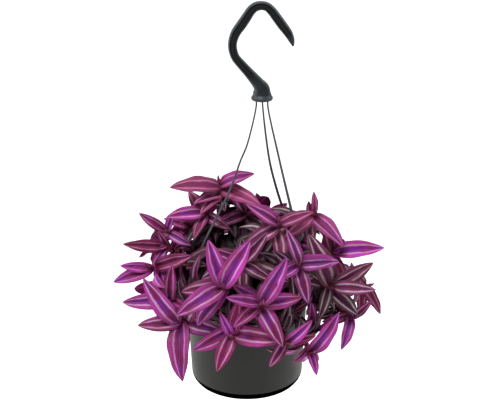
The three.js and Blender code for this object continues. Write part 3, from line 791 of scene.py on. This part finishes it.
def strap_route(name):
    rim = STRAP_RIMS[name]
    return through([
        socket_at(name, SOCKET["top"] - CLEARANCE), socket_at(name, SOCKET["mouth"]),
        socket_at(name, SOCKET["mouth"] - STRAP_LEADS["under_disc"]), *STRAP_ROUTES[name],
        at_angle(rim, CLIP_RADIUS, RIM_TOP + STRAP_LEADS["over_rim"]),
        at_angle(rim, CLIP_RADIUS, RIM_TOP - RIM_THICK - CLEARANCE)])


# %% Straps
STRAP_TOP, STRAP_END = np.array([0.9, 0.9, 2]), np.array([3.1, 0.8, 4])
CLIP = {"width": 5.2, "neck": 4.7, "barb": 0.4, "thick": 1.05, "bottom": 109.5, "point": 2.2}
STRAP_SECTIONS, STRAP_FACETS = 120, 16


def strap_rings(name):
    """Rings whose half width, half thickness and squareness change evenly from the top to the end."""
    route = strap_route(name)
    side = at_angle(STRAP_RIMS[name] + 90, 1)
    rings = []
    for share in np.linspace(0, 1, STRAP_SECTIONS + 1):
        width, thick, squareness = STRAP_TOP + (STRAP_END - STRAP_TOP) * share
        rings.append(section_across(
            route.at(share), route.tangent_at(share), side, width, thick, STRAP_FACETS, squareness))
    foot = route.at(1)
    tip = np.array([foot[0], foot[1], CLIP["bottom"]])
    for centre, part in ((foot, "neck"), (foot - CLIP["barb"] * UP, "width"), (tip, "point")):
        rings.append(section_across(centre, -UP, side, CLIP[part], CLIP["thick"], STRAP_FACETS, STRAP_END[2]))
    return rings


for name in STRAP_ROUTES:
    strap = place_piece(f"{name}_strip", Skins().add(strap_rings(name)), "strap_plastic", name)
    soften_edges(strap, degrees=45)
    print(name, "length in mm:", round(strap_route(name).length))

# %% [markdown]
# ## How the plant grows
#
# Each shoot has a tip, a direction that it faces, and a root in the soil, and its stem is an arc between
# them. Leaves sit at set distances behind the tip, each turned on from the last. A leaf that has no room
# tries other turns and sizes and is left out if none fits. The rule and its numbers are the ones that
# shaped the solids, so each leaf here lies in its solid. The front shoots also name the leaves at their
# ends, as the photo shows them, and how old and dark they are.

# %% The leaves of a shoot, from its tip down
LEAF_LENGTH = 54
RANK_PARTS = ("behind", "spread", "bend", "size", "width")
LEAF_RANKS = [dict(zip(RANK_PARTS, row)) for row in (
    (0, 10, 8, 0.36, 0.3), (2, 54, 28, 0.8, 0.36), (5, 58, 34, 1, 0.39), (8, 62, 36, 1, 0.41),
    (11, 63, 42, 1, 0.41), (15, 68, 44, 0.95, 0.41), (26, 74, 46, 0.9, 0.41), (40, 80, 48, 0.85, 0.41))]

# %% The shoots in front: tip, facing, end leaves as (clock angle, length), and how dark they are
FRONT_SHOOTS = [
    ((-75, -84, 111), (-14, 24), [(-40, 66), (-100, 48), (170, 68), (100, 54)], 0.3),
    ((-16, -112, 110), (-4, 22), [(-25, 34), (10, 42), (95, 58), (-160, 48), (-120, 52)], 0.1),
    ((15, -120, 153), (6, 26), [(30, 60), (-65, 40), (85, 46), (-130, 40)], 0.1),
    ((-25, -112, 169), (-6, 28), [(30, 62), (-20, 54), (-125, 60), (-100, 48)], 0.15),
    ((95, -74, 151), (14, 24), [(100, 48), (65, 54), (-45, 70), (-155, 40), (125, 50)], 0.85),
    ((75, -30, 220), (20, 36), [(5, 26), (-105, 52), (155, 54), (125, 36), (-165, 40)], 0.2),
    ((35, -60, 220), (8, 35), [(-60, 46), (75, 42), (-145, 50), (110, 40), (175, 44)], 0.6),
    ((-30, 13, 238), (-14, 46), [(75, 46), (-103, 60), (112, 58), (-150, 40), (-128, 48)], 0.2),
    ((-48, 5, 208), (-16, 36), [(-110, 46), (-170, 36), (115, 36), (-45, 40)], 0.3),
    ((-93, 0, 187), (-20, 30), [(-65, 38), (15, 26), (150, 40)], 0.2),
    ((-93, -12, 172), (-10, 24), [(-90, 50), (-150, 30), (-30, 32), (70, 38)], 0.3),
    ((-107, -45, 161), (-10, 22), [(-90, 36), (-115, 48), (70, 48), (160, 34)], 0.2),
    ((-86, -58, 127), (-12, 20), [(5, 46), (-97, 56), (110, 38), (-150, 40)], 0.1),
    ((70, -92, 80), (14, 18), [(35, 58), (170, 30), (-125, 26)], 0.0),
    ((44, -108, 100), (8, 16), [(45, 40), (80, 34), (-145, 36), (-90, 36)], 0.1),
    ((118, -58, 105), (14, 18), [(50, 32), (-155, 40), (-95, 34), (80, 26)], 0.3),
    ((136, -25, 130), (22, 18), [(-45, 38), (160, 40), (-165, 36), (-105, 34)], 0.5),
    ((98, -38, 177), (6, 30), [(90, 58), (-15, 44), (-115, 36), (155, 40), (-60, 40)], 0.2),
    ((-1, 10, 208), (4, 44), [(100, 36), (-45, 40), (-110, 40), (140, 42)], 0.6),
    ((-4, -84, 185), (-2, 32), [(40, 44), (-70, 40), (120, 40), (-155, 42)], 0.7),
    ((-66, 24, 182), (-24, 34), [(-85, 34), (60, 42), (-160, 40), (130, 42)], 0.3),
    ((57, -92, 186), (12, 28), [(-20, 44), (90, 40), (-115, 38), (170, 44)], 0.5),
]

# %% Shoots round the back and sides: number, first and last angle, reach, height, how far up they face
RINGS = [(5, 106, 256, 110, 96, 12), (6, 110, 250, 106, 146, 26), (3, 124, 232, 70, 184, 42)]
RING_SCATTER = {"around": 8, "reach": 8, "height": 10, "faces": 16, "lift": 8}
RING_DARK = 0.25
SEED = 4711


def facing(around, lift):
    """A direction so many degrees round from the front, and so many up."""
    turn, level = math.radians(around), math.cos(math.radians(lift))
    return np.array([math.sin(turn) * level, -math.cos(turn) * level, math.sin(math.radians(lift))])


def ring_shoots(draw):
    def scatter(part):
        return (2 * draw() - 1) * RING_SCATTER[part]

    shoots = []
    for count, first, last, reach, height, lift in RINGS:
        for i in range(count):
            around = first + (last - first) * (i / (count - 1)) + scatter("around")
            outward = facing(around, 0) * (reach + scatter("reach"))
            tip = (outward[0], outward[1], height + scatter("height"))
            shoots.append((tip, (around + scatter("faces"), lift + scatter("lift")), [], RING_DARK))
    return shoots


# %% The points already taken, with their owners and the room that they need
ROOM = {"leaf": 4.5, "stem": 6, "strap": 6.5}


class Crowd:
    def __init__(self):
        self.points = np.zeros((0, 3))
        self.owners = np.zeros(0, int)
        self.rooms = np.zeros(0)

    def add(self, points, owner, room):
        self.points = np.vstack([self.points, points])
        self.owners = np.append(self.owners, np.full(len(points), owner))
        self.rooms = np.append(self.rooms, np.full(len(points), float(room)))

    def touches(self, points, owner=None):
        reach = max(ROOM.values())
        near = ((self.points > points.min(0) - reach) & (self.points < points.max(0) + reach)).all(1)
        if owner is not None:
            near &= self.owners != owner
        others = self.points[near]
        if not len(others):
            return False
        gaps = np.linalg.norm(points[:, None] - others[None], axis=-1)
        return bool((gaps < self.rooms[near]).any())


# %% Stems: the first root and rise that clear the rim, the straps and the stems before it
STEM_RISES = [35, 50, 65, 80, 100, 120, 145]
ROOTS = {"near_rim": 56, "near_axis": 12, "low_tip": 84, "high_tip": 234}
ROOT_TURNS = [0, 8, -8, 16, -16, 24, -24]
STEM_SAMPLES, STEM_LEAD, SOIL_STUB = 50, 22, 2
POT_ROOM = {"radius": RIM_RADIUS + 4, "height": RIM_TOP + 4}
RIM_ROOM = {"above": RIM_TOP + 6, "inside": 5}


def root_of(tip, turn):
    around = math.atan2(tip[1], tip[0]) + math.radians(turn)
    height = min(max(tip[2], ROOTS["low_tip"]), ROOTS["high_tip"])
    share = (height - ROOTS["low_tip"]) / (ROOTS["high_tip"] - ROOTS["low_tip"])
    radius = ROOTS["near_rim"] + share * (ROOTS["near_axis"] - ROOTS["near_rim"])
    return np.array([radius * math.cos(around), radius * math.sin(around), soil_height(radius)])


def clears_rim(points):
    radius = np.hypot(points[:, 0], points[:, 1])
    inside = inner_wall_radius(RIM_TOP) - RIM_ROOM["inside"]
    clear = (points[:, 2] > RIM_ROOM["above"]) | (radius < inside) | (radius > POT_ROOM["radius"])
    return bool(clear.all())


def grow_stem(tip, face, crowd):
    lead = tip - face * STEM_LEAD
    first = None
    for turn in ROOT_TURNS:
        root = root_of(tip, turn)
        start = root + SOIL_STUB * UP
        for rise in STEM_RISES:
            line = bezier(start, start + rise * UP, lead, tip)
            points = line.place(np.arange(STEM_SAMPLES + 1) / STEM_SAMPLES)
            first = first or (root, line, points)
            if clears_rim(points) and not crowd.touches(points):
                return root, line, points
    return first


def grow_shoots(crowd):
    shoots = []
    for index, (tip, faces, given, dark) in enumerate(FRONT_SHOOTS + ring_shoots(make_draws(SEED))):
        face = facing(*faces)
        root, line, points = grow_stem(np.array(tip, float), face, crowd)
        crowd.add(points, index, ROOM["stem"])
        shoots.append({
            "index": index, "root": root, "line": line, "face": face, "right": at_angle(faces[0], 1),
            "given": given, "dark": dark, "leaves": [], "clock": 0,
        })
    return shoots


# %% [markdown]
# A leaf's middle line starts out leaning from the stem and curls on in an arc. Its two halves rise from
# the middle rib in a shallow V, and its outline is a product of two powers: it swells quickly from the
# base and tapers long to the tip.

# %% The shape of a leaf
LEAF_FOLD = math.radians(20)
LEAF_OUTLINE = {"base": 0.55, "tip": 0.85}
LEAF_FOOT = {"half": 0.8, "fade": 6}


def leaf_shape(share):
    base, tip = LEAF_OUTLINE["base"], LEAF_OUTLINE["tip"]
    widest = base / (base + tip)
    return (share / widest) ** base * ((1 - share) / (1 - widest)) ** tip


def leaf_stations(leaf, shares):
    """Centre, side, face and half width of the leaf at each share of its length."""
    shares = np.asarray(shares, float)
    turn = (leaf["spread"] + leaf["bend"] * shares)[:, None]
    curl = leaf["length"] / leaf["bend"]
    centre = (leaf["foot"] + leaf["stem"] * curl * (np.sin(turn) - math.sin(leaf["spread"]))
              + leaf["out"] * curl * (math.cos(leaf["spread"]) - np.cos(turn)))
    flat_face = leaf["stem"] * np.sin(turn) - leaf["out"] * np.cos(turn)
    flat_side = np.cross(leaf["stem"], leaf["out"])
    c, s = math.cos(leaf["roll"]), math.sin(leaf["roll"])
    side = flat_side * c + flat_face * s
    face = flat_face * c - flat_side * s
    half = LEAF_FOOT["half"] * (1 - shares) ** LEAF_FOOT["fade"] + leaf["width"] / 2 * leaf_shape(shares)
    return centre, side, face, half


def leaf_points(stations, across, lift=0.0):
    """Points across each station, from -1 at the left edge to 1 at the right, lifted off the blade."""
    centre, side, face, half = stations
    reach = np.asarray(across) * half[:, None]
    rise = np.abs(reach) * math.sin(LEAF_FOLD) + lift
    return (centre[:, None] + (reach * math.cos(LEAF_FOLD))[..., None] * side[:, None]
            + rise[..., None] * face[:, None])


# %% The rooms kept for the pot, as (lowest, highest, radius)
def in_pot(points):
    """Whether any of these points lies in one of the rooms."""
    radius, height = np.hypot(points[:, 0], points[:, 1]), points[:, 2]
    return any(((height > low) & (height < high) & (radius < reach)).any() for low, high, reach in pot_rooms)


pot_rooms = [(-math.inf, POT_ROOM["height"], POT_ROOM["radius"])]
print("kept for the pot, in mm:", pot_rooms)


# %% Grow the leaves: the ones that the photo shows first, then the rest from the tips down
LEAF_SCATTER = {"clock": 22, "size": 0.1, "roll": math.radians(10), "width": 0.08}
CLOCK_STEP = 140
SAMPLES_ALONG = 12
SAMPLES_ACROSS = np.array([-1, -0.5, 0, 0.5, 1])
SECOND_TRIES = [
    (0, 0, 1), (13, 0, 1), (-13, 0, 1), (0, 12, 1), (0, -14, 1), (26, 5, 0.92), (-26, 5, 0.92),
    (0, -22, 0.82), (40, 10, 0.8), (-40, 10, 0.8), (0, 0, 0.62),
]


def grow_leaf(shoot, rank, crowd, draw):
    rule = LEAF_RANKS[rank]
    turn_draw, width_draw, roll_draw, size_draw = (2 * draw() - 1 for _ in range(4))
    given = shoot["given"][rank - 1] if 0 < rank <= len(shoot["given"]) else None
    line = shoot["line"]
    share = 1 - rule["behind"] / line.length
    if given:
        shoot["clock"], length = given
        stem = shoot["face"]
    else:
        shoot["clock"] += CLOCK_STEP + LEAF_SCATTER["clock"] * turn_draw
        length = LEAF_LENGTH * rule["size"] * (1 + LEAF_SCATTER["size"] * size_draw)
        stem = line.tangent_at(share)
    right = unit(shoot["right"] - stem * (stem @ shoot["right"]))
    top = np.cross(stem, right)
    for turn, lean, size in SECOND_TRIES:
        clock = math.radians(shoot["clock"] + turn)
        leaf = {
            "foot": line.at(share), "stem": stem, "out": top * math.cos(clock) + right * math.sin(clock),
            "spread": math.radians(rule["spread"] + lean), "bend": math.radians(rule["bend"]),
            "roll": LEAF_SCATTER["roll"] * roll_draw, "length": length * size,
            "width": length * size * rule["width"] * (1 + LEAF_SCATTER["width"] * width_draw),
            "share": share, "rank": rank, "draws": (turn_draw, width_draw, roll_draw, size_draw),
        }
        shares = np.arange(1, SAMPLES_ALONG + 1) / SAMPLES_ALONG
        samples = leaf_points(leaf_stations(leaf, shares), SAMPLES_ACROSS).reshape(-1, 3)
        if not in_pot(samples) and not crowd.touches(samples, shoot["index"]):
            crowd.add(samples, shoot["index"], ROOM["leaf"])
            shoot["leaves"].append(leaf)
            return


def grow_leaves(shoots, crowd):
    draw = make_draws(SEED + 1)
    for shoot in shoots:
        shoot["clock"] = 360 * draw()
    for wanted in (True, False):
        for rank in range(len(LEAF_RANKS)):
            for shoot in shoots:
                if (0 < rank <= len(shoot["given"])) == wanted:
                    grow_leaf(shoot, rank, crowd, draw)


# %% Straps, stems and leaves take their room in turn
STRAP_SAMPLES = 90

crowd = Crowd()
for number, name in enumerate(STRAP_ROUTES):
    crowd.add(strap_route(name).at(np.arange(STRAP_SAMPLES + 1) / STRAP_SAMPLES), -1 - number, ROOM["strap"])
shoots = grow_shoots(crowd)
grow_leaves(shoots, crowd)
print("leaves:", sum(len(shoot["leaves"]) for shoot in shoots), "on", len(shoots), "shoots")

# %% [markdown]
# The solids stop at the eighth leaf of a shoot, to stay light. The real plant keeps its old leaves
# further down, in the shade of the new ones, and they are what makes it look full. They are grown here by
# the same rule, and only where there is room for them. They are small, and may lie closer together than
# the leaves in the light, and closer to the pot's wall.

# %% The old leaves further down each stem
OLD_KINDS = ((110, 50, 0.9, 0.42), (82, 42, 0.72, 0.44), (98, 46, 0.6, 0.48))
OLD_BEHIND = [21, 33, 46, 54, 63, 72, 82, 92, 104, 26, 38, 50, 60, 70]
OLD_ROOM, OLD_POT_ROOM = 2.4, 3
LOWEST_LEAF = 0.16

FRONT_RANKS = len(LEAF_RANKS)
LEAF_RANKS += [dict(zip(RANK_PARTS, (behind, *kind))) for kind in OLD_KINDS for behind in OLD_BEHIND]
under_skirt = SKIRT_BOTTOM - OLD_POT_ROOM
pot_rooms = [
    (under_skirt, RIM_TOP + OLD_POT_ROOM, RIM_RADIUS + OLD_POT_ROOM),
    (-math.inf, under_skirt, WALL_TOP_RADIUS + OLD_POT_ROOM),
]
crowd.rooms[crowd.rooms == ROOM["leaf"]] = OLD_ROOM
ROOM["leaf"] = OLD_ROOM
draw = make_draws(SEED + 2)
for rank in range(FRONT_RANKS, len(LEAF_RANKS)):
    for shoot in shoots:
        if 1 - LEAF_RANKS[rank]["behind"] / shoot["line"].length > LOWEST_LEAF:
            grow_leaf(shoot, rank, crowd, draw)
print("leaves with the old ones:", sum(len(shoot["leaves"]) for shoot in shoots))

# %% [markdown]
# ## The leaf finish
#
# The striped leaf is the whole charm of this plant. Its upper face is wine red to orchid, with violet in
# its middle, and two thin pale stripes run from its base to its tip halfway out on each side. The
# underside is a plain deep magenta. Old leaves are nearly black with an olive rim, and their stripes are
# broader and silvery. Painting each leaf would take an image, so instead each point of a leaf carries its
# place along and across the blade, and its leaf's tone, age and stripe width. One finish reads them and
# serves every leaf.

# %% Leaf colours
WINE, MAUVE, ORCHID, VIOLET = ink(110, 24, 68), ink(142, 40, 112), ink(180, 54, 160), ink(128, 42, 166)
ROSE = ink(154, 62, 110)
# Dark wine for the veins and for painted shade at a leaf's rim and near its stem, and painted shade along the
# rib
VEIN_WINE_AND_SHADE, RIB_SHADE_WINE = ink(70, 10, 34), ink(74, 12, 44)
STRIPE_PINK, STRIPE_SILVER = ink(226, 150, 200), ink(188, 182, 172)
OLD_HEART, OLD_EDGE = ink(50, 22, 42), ink(38, 38, 34)
UNDER_WINE, UNDER_MAGENTA = ink(98, 14, 64), ink(146, 24, 110)
STEM_RED, STEM_OLIVE = ink(112, 26, 52), ink(88, 60, 34)
DEEP_SHADE = ink(30, 14, 22)


# %% The stripes, and the colours of the upper face
def stripe_mask(along, across, wide, veins, clouds):
    """1 on the two stripes of a leaf, from its base to its tip, and frayed by the veins."""
    outward = abs(across) + (veins - 0.5) * 0.18 + (clouds - 0.5) * 0.32
    from_middle = abs(outward - 0.48)
    stripe = 1 - (from_middle - wide * 0.1).rise(-0.07, 0.13)
    ends = along.rise(0.0, 0.12) * (1 - along.rise(0.9, 1.0) * 0.5)
    broken = (clouds * 0.9 + veins * 0.5).rise(0.4, 0.9) * 0.6 + 0.4
    return stripe * ends * broken


def upper_colour(along, across, tone, old, wide, rosy_and_lit, veins, clouds):
    young = (tone * 1.2 + (clouds - 0.5) * 1.6 - 0.1).blend(WINE, MAUVE)
    margin = (tone * 1.9 + (clouds - 0.5) * 2.2 - 0.9).blend(young, ORCHID)
    outer = (abs(across) + (clouds - 0.5) * 0.6).rise(0.2, 0.9)
    body = outer.blend(young, margin)
    violet = (1 - abs(across).rise(0.15, 0.9)) * (tone + clouds * 2.2 - 1.6).rise(0.0, 0.5)
    body = (violet * 0.7).blend(body, VIOLET)
    # A rose tint on the highest shoots, lighter than the body as painted light on the top of the plant
    body = (rosy_and_lit * 0.75).blend(body, ROSE)
    body = (veins.rise(0.4, 0.75) * 0.5).blend(body, VEIN_WINE_AND_SHADE)
    faded = outer.blend(OLD_HEART, OLD_EDGE)
    body = old.blend(body, faded)
    pale = (wide * 0.7 + old * 0.35).blend(STRIPE_PINK, STRIPE_SILVER)
    top = (stripe_mask(along, across, wide, veins, clouds) * (tone * 0.3 + 0.62)).blend(body, pale)
    # Painted shade: darker along the rib, at the rim and towards the stem.
    rib = 1 - abs(across).rise(0.02, 0.14)
    top = (rib * 0.55).blend(top, RIB_SHADE_WINE)
    rim = abs(across).rise(0.86, 1.0)
    shade_near_stem = 1 - along.rise(0.0, 0.38)
    return (rim * 0.6).blend((shade_near_stem * 0.6).blend(top, VEIN_WINE_AND_SHADE), VEIN_WINE_AND_SHADE)


# %% The finish of leaves and stems
def leaf_finish():
    material, wire, shader = start_finish(
        "leaf_and_stem", IOR=1.4, Specular_IOR_Level=0.32, Subsurface_Weight=0.06, Subsurface_Scale=0.002)
    leaf_place, (along, across, upper) = read_point_values(wire, "leaf_place")
    _, (tone, old, wide) = read_point_values(wire, "leaf_kind")
    _, (on_stem, rosy_and_lit, shade) = read_point_values(wire, "leaf_mood")
    place = object_place(wire)
    veins = leaf_place.stretched((1.2, 15, 0)).noise(4.0, 3.0, 0.6)
    clouds = place.noise(70, 3.0)
    cells = place.noise(2100, 1.0)

    top = upper_colour(along, across, tone, old, wide, rosy_and_lit, veins, clouds)
    under = (tone * 0.6 + veins * 0.5).blend(UNDER_WINE, UNDER_MAGENTA)
    under = (old * 0.7).blend(under, OLD_HEART)
    blade = upper.blend(under, top)
    blade = (cells.rise(0.55, 0.8) * 0.10).blend(blade, STRIPE_PINK)
    bark = (tone + (veins - 0.5) * 0.8).blend(STEM_RED, STEM_OLIVE)
    colour = on_stem.blend(blade, bark)
    colour = (shade * 0.92).blend(colour, DEEP_SHADE)

    roughness = clouds * 0.14 + cells * 0.10 + 0.34
    finish_with(wire, shader, colour, roughness, veins * 0.7 + cells * 0.3, 0.0003)
    return material


finishes["leaf"] = leaf_finish()

# %% [markdown]
# ## Fine leaves and stems
#
# A leaf's ring of points runs over its upper face and back under it, so the blade has a real thickness
# that thins towards its edge. No two leaves lie alike: each has its own fold, twists a little towards its
# tip, waves along its edge, and arches each half between rib and margin, where the light then catches it.
# The stem is a round tube that swells at each leaf's node, where the leaf's foot wraps the stem in a
# short sheath.

# %% The blade of one leaf
BLADE_ALONG, BLADE_ACROSS = 22, 12
BLADE_THICK = {"middle": 0.75, "edge": 0.3}
BLADE_TIP = 0.997
FOLD_MORE = math.radians(5)
FOLD_SCATTER = math.radians(12)
TWIST = math.radians(24)
EDGE_WAVE = {"height": 0.022, "waves": 2.3}
ARCH = 0.11


def turned_about_middle(stations, twist):
    """The stations with their sides and faces turned about the leaf's middle line."""
    centre, side, face, half = stations
    c, s = np.cos(twist)[:, None], np.sin(twist)[:, None]
    return centre, side * c + face * s, face * c - side * s, half


def blade_rings(leaf):
    shares = (1 - np.cos(np.pi * np.arange(BLADE_ALONG + 1) / BLADE_ALONG)) / 2 * BLADE_TIP
    turn_draw, width_draw, roll_draw, size_draw = leaf["draws"]
    stations = turned_about_middle(leaf_stations(leaf, shares), TWIST * width_draw * shares ** 2)
    half = stations[3][:, None]
    across = np.linspace(1, -1, BLADE_ACROSS + 1)
    out = np.abs(across)
    phase = np.where(across < 0, 2.2 * turn_draw, 2.2 * size_draw) + 3 * roll_draw
    wave = np.sin(2 * np.pi * EDGE_WAVE["waves"] * shares[:, None] + phase)
    lift = leaf["length"] * EDGE_WAVE["height"] * wave * np.sin(np.pi * shares)[:, None] * out ** 3
    lift = lift + ARCH * half * np.sin(np.pi * out)
    lift = lift + half * out * math.tan(FOLD_MORE + FOLD_SCATTER * turn_draw)
    thick = BLADE_THICK["edge"] + (BLADE_THICK["middle"] - BLADE_THICK["edge"]) * (1 - out ** 2)
    thick = thick * np.clip(half / 1.2, 0.25, 1)
    upper = leaf_points(stations, across, lift + thick / 2)
    lower = leaf_points(stations, across, lift - thick / 2)[:, ::-1]
    marks = np.zeros((len(shares), 2 * len(across), 3))
    marks[..., 0] = shares[:, None]
    marks[..., 1] = np.concatenate([across, across[::-1]])
    marks[..., 2] = np.repeat([1, 0], len(across))
    return np.concatenate([upper, lower], axis=1), marks


# %% How a leaf looks, from its rank, its shoot's darkness and its own draws
ROSY_AND_LIT = {"from": 190, "to": 236, "most": 0.7}


def leaf_kind(shoot, leaf):
    turn_draw, _, roll_draw, size_draw = leaf["draws"]
    tone = 0.5 + 0.5 * turn_draw
    age = leaf["rank"] / (FRONT_RANKS - 1)
    old = shoot["dark"] * (0.5 + 0.45 * age) + 0.22 * roll_draw + 0.5 * max(age - 0.75, 0)
    wide = 0.16 + 0.35 * size_draw + 0.5 * shoot["dark"]
    return [tone, min(max(old, 0), 0.94), min(max(wide, 0), 1)]


def rosiness_and_top_light(shoot):
    """The highest shoots are rosier and lighter: a rose tint, and painted light on the top of the plant."""
    height = shoot["line"].at(1)[2]
    return ROSY_AND_LIT["most"] * min(max((height - ROSY_AND_LIT["from"]) / (ROSY_AND_LIT["to"] - ROSY_AND_LIT["from"]), 0), 1)


# %% How dark it is inside the plant
CROWN = {"height": 120, "around": 109, "up": 102, "lit": 0.96, "dark": 0.58}


def shade_at(points):
    """0 on the outside of the crown of leaves, and 1 deep inside it."""
    out = np.hypot(points[..., 0], points[..., 1]) / CROWN["around"]
    up = np.maximum(points[..., 2] - CROWN["height"], 0) / CROWN["up"]
    return eased_share((CROWN["lit"] - np.hypot(out, up)) / (CROWN["lit"] - CROWN["dark"]))


def mood(rings, on_stem, rosy_and_lit):
    values = np.zeros(rings.shape)
    values[..., 0], values[..., 1], values[..., 2] = on_stem, rosy_and_lit, shade_at(rings)
    return values


# %% The stem and the sheaths of one shoot
STEM_FACETS = 12
STEM_RADIUS = {"root": 2.2, "tip": 1.8}
STEM_HOLE_DEPTH = 17
STEM_RING_GAP = 2.5
NODE_SWELL = {"height": 0.55, "reach": 1.3}
SHEATH = {"length": 6.5, "facets": 10, "place": [0.3, 0.8, 0], "bark": 0.6}
SHEATH_OUTLINE = ((0.0, 0.25), (1.0, 0.35), (0.4, 0.55), (0.0, 0.8))


def stem_radius(shoot, share):
    radius = STEM_RADIUS["root"] + (STEM_RADIUS["tip"] - STEM_RADIUS["root"]) * share
    gaps = [(share - leaf["share"]) * shoot["line"].length for leaf in shoot["leaves"]]
    return radius + NODE_SWELL["height"] * max(math.exp(-(gap / NODE_SWELL["reach"]) ** 2) for gap in gaps)


def stem_ring(shoot, share, facets, gap=0.0):
    line, radius = shoot["line"], stem_radius(shoot, share) + gap
    return section_across(line.at(share), line.tangent_at(share), shoot["right"], radius, radius, facets)


def stem_rings(shoot):
    below, radius = shoot["root"] - (STEM_HOLE_DEPTH - CLEARANCE) * UP, STEM_RADIUS["root"]
    rings = [section_across(below, UP, shoot["right"], radius, radius, STEM_FACETS)]
    for share in np.linspace(0, 1, round(shoot["line"].length / STEM_RING_GAP)):
        rings.append(stem_ring(shoot, share, STEM_FACETS))
    return np.array(rings)


def sheath_rings(shoot, leaf):
    """A thin sleeve round the stem below a leaf. Its outline is (share of its length back, gap)."""
    length = shoot["line"].length
    return np.array([stem_ring(shoot, leaf["share"] - back * SHEATH["length"] / length, SHEATH["facets"], gap)
                     for back, gap in SHEATH_OUTLINE])


# %% Every leafy stem as one piece
def leafy_stem(shoot):
    bark = [0.2 + 0.6 * (shoot["index"] * 7 % 5) / 4, 0, 0]
    rings = stem_rings(shoot)
    marks = np.zeros(rings.shape)
    marks[..., 0] = np.linspace(0, shoot["line"].length / LEAF_LENGTH, len(rings))[:, None]
    marks[..., 1] = spokes(STEM_FACETS)[:, 1]
    skins = Skins().add(rings, leaf_place=marks, leaf_kind=bark, leaf_mood=mood(rings, 1, 0))
    for leaf in shoot["leaves"]:
        rings, marks = blade_rings(leaf)
        kind = leaf_kind(shoot, leaf)
        skins.add(rings, leaf_place=marks, leaf_kind=kind, leaf_mood=mood(rings, 0, rosiness_and_top_light(shoot)))
        if leaf["rank"] > 1:
            rings = sheath_rings(shoot, leaf)
            moods = mood(rings, SHEATH["bark"], 0)
            skins.add(rings, leaf_place=SHEATH["place"], leaf_kind=bark, leaf_mood=moods)
    return skins


# %% Make the pieces, and see how far each stands out of its solid's box
furthest = (0, "")
triangles = 0
for shoot in shoots:
    node = f"leafy_stem_{shoot['index'] + 1:02d}"
    mesh = place_piece(f"{node}_fine", leafy_stem(shoot), "leaf", node).data
    corners = np.array([vertex.co for vertex in mesh.vertices])
    low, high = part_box(node)
    stands_out = 1000 * max((np.array(low) - corners.min(0)).max(), (corners.max(0) - np.array(high)).max())
    furthest = max(furthest, (stands_out, node))
    triangles += sum(polygon.loop_total - 2 for polygon in mesh.polygons)
print("fine stems:", len(shoots), "triangles:", triangles, "furthest from its box, in mm:", furthest)

# %% [markdown]
# ## Floor and light
#
# The photograph is a cut-out on white. A pale floor well below the hanging pot gives the same clean
# ground. One broad sun from the upper left front shapes the leaves and leaves their undersides darker. A
# soft lamp at each side lights the flanks, one behind rims the crown, and an even white sky fills the
# shadows. Together they bring the floor to white.

# %% Floor
FLOOR_DROP = 0.32
FLOOR_REACH = 400
floor_z = solid_box[0][2] - FLOOR_DROP
floor_corners = [(x * FLOOR_REACH, y * FLOOR_REACH, floor_z) for x, y in QUAD * 2.0 - 1]
floor_mesh = bpy.data.meshes.new("floor")
floor_mesh.from_pydata(floor_corners, [], [(0, 1, 2, 3)])
floor = into_scene("floor", floor_mesh)
floor_mesh.materials.append(start_finish("floor_paint", Base_Color=(0.94, 0.94, 0.94, 1), Roughness=0.9)[0])

# %% Lights
SUN = {"from": (-0.42, -0.62, 1.15), "strength": 3.0, "spread": 26}
LAMPS = {
    "rim_lamp": ((0.5, 1.3, 0.7), 9),
    "left_lamp": ((-1.7, 0.1, 0.9), 16),
    "right_lamp": ((1.7, 0.2, 0.9), 14),
}
LAMP_SIZE = 1.2
SKY_STRENGTH = 0.36
PLANT_MIDDLE = Vector((0.0, 0.0, -0.28))


def hang_lamp(name, kind, place, strength):
    light = bpy.data.lights.new(name, kind)
    light.energy = strength
    lamp = into_scene(name, light)
    lamp.location = place
    lamp.rotation_euler = (PLANT_MIDDLE - lamp.location).to_track_quat("-Z", "Y").to_euler()
    return light


hang_lamp("sun", "SUN", SUN["from"], SUN["strength"]).angle = math.radians(SUN["spread"])
for name, (place, power) in LAMPS.items():
    hang_lamp(name, "AREA", place, power).size = LAMP_SIZE

world = bpy.data.worlds.new("sky")
world.use_nodes = True
sky = world.node_tree.nodes["Background"].inputs
sky["Color"].default_value = (1, 1, 1, 1)
sky["Strength"].default_value = SKY_STRENGTH
bpy.context.scene.world = world
bpy.context.scene.view_settings.view_transform = "Standard"

# %% Update the view layer
bpy.context.view_layer.update()
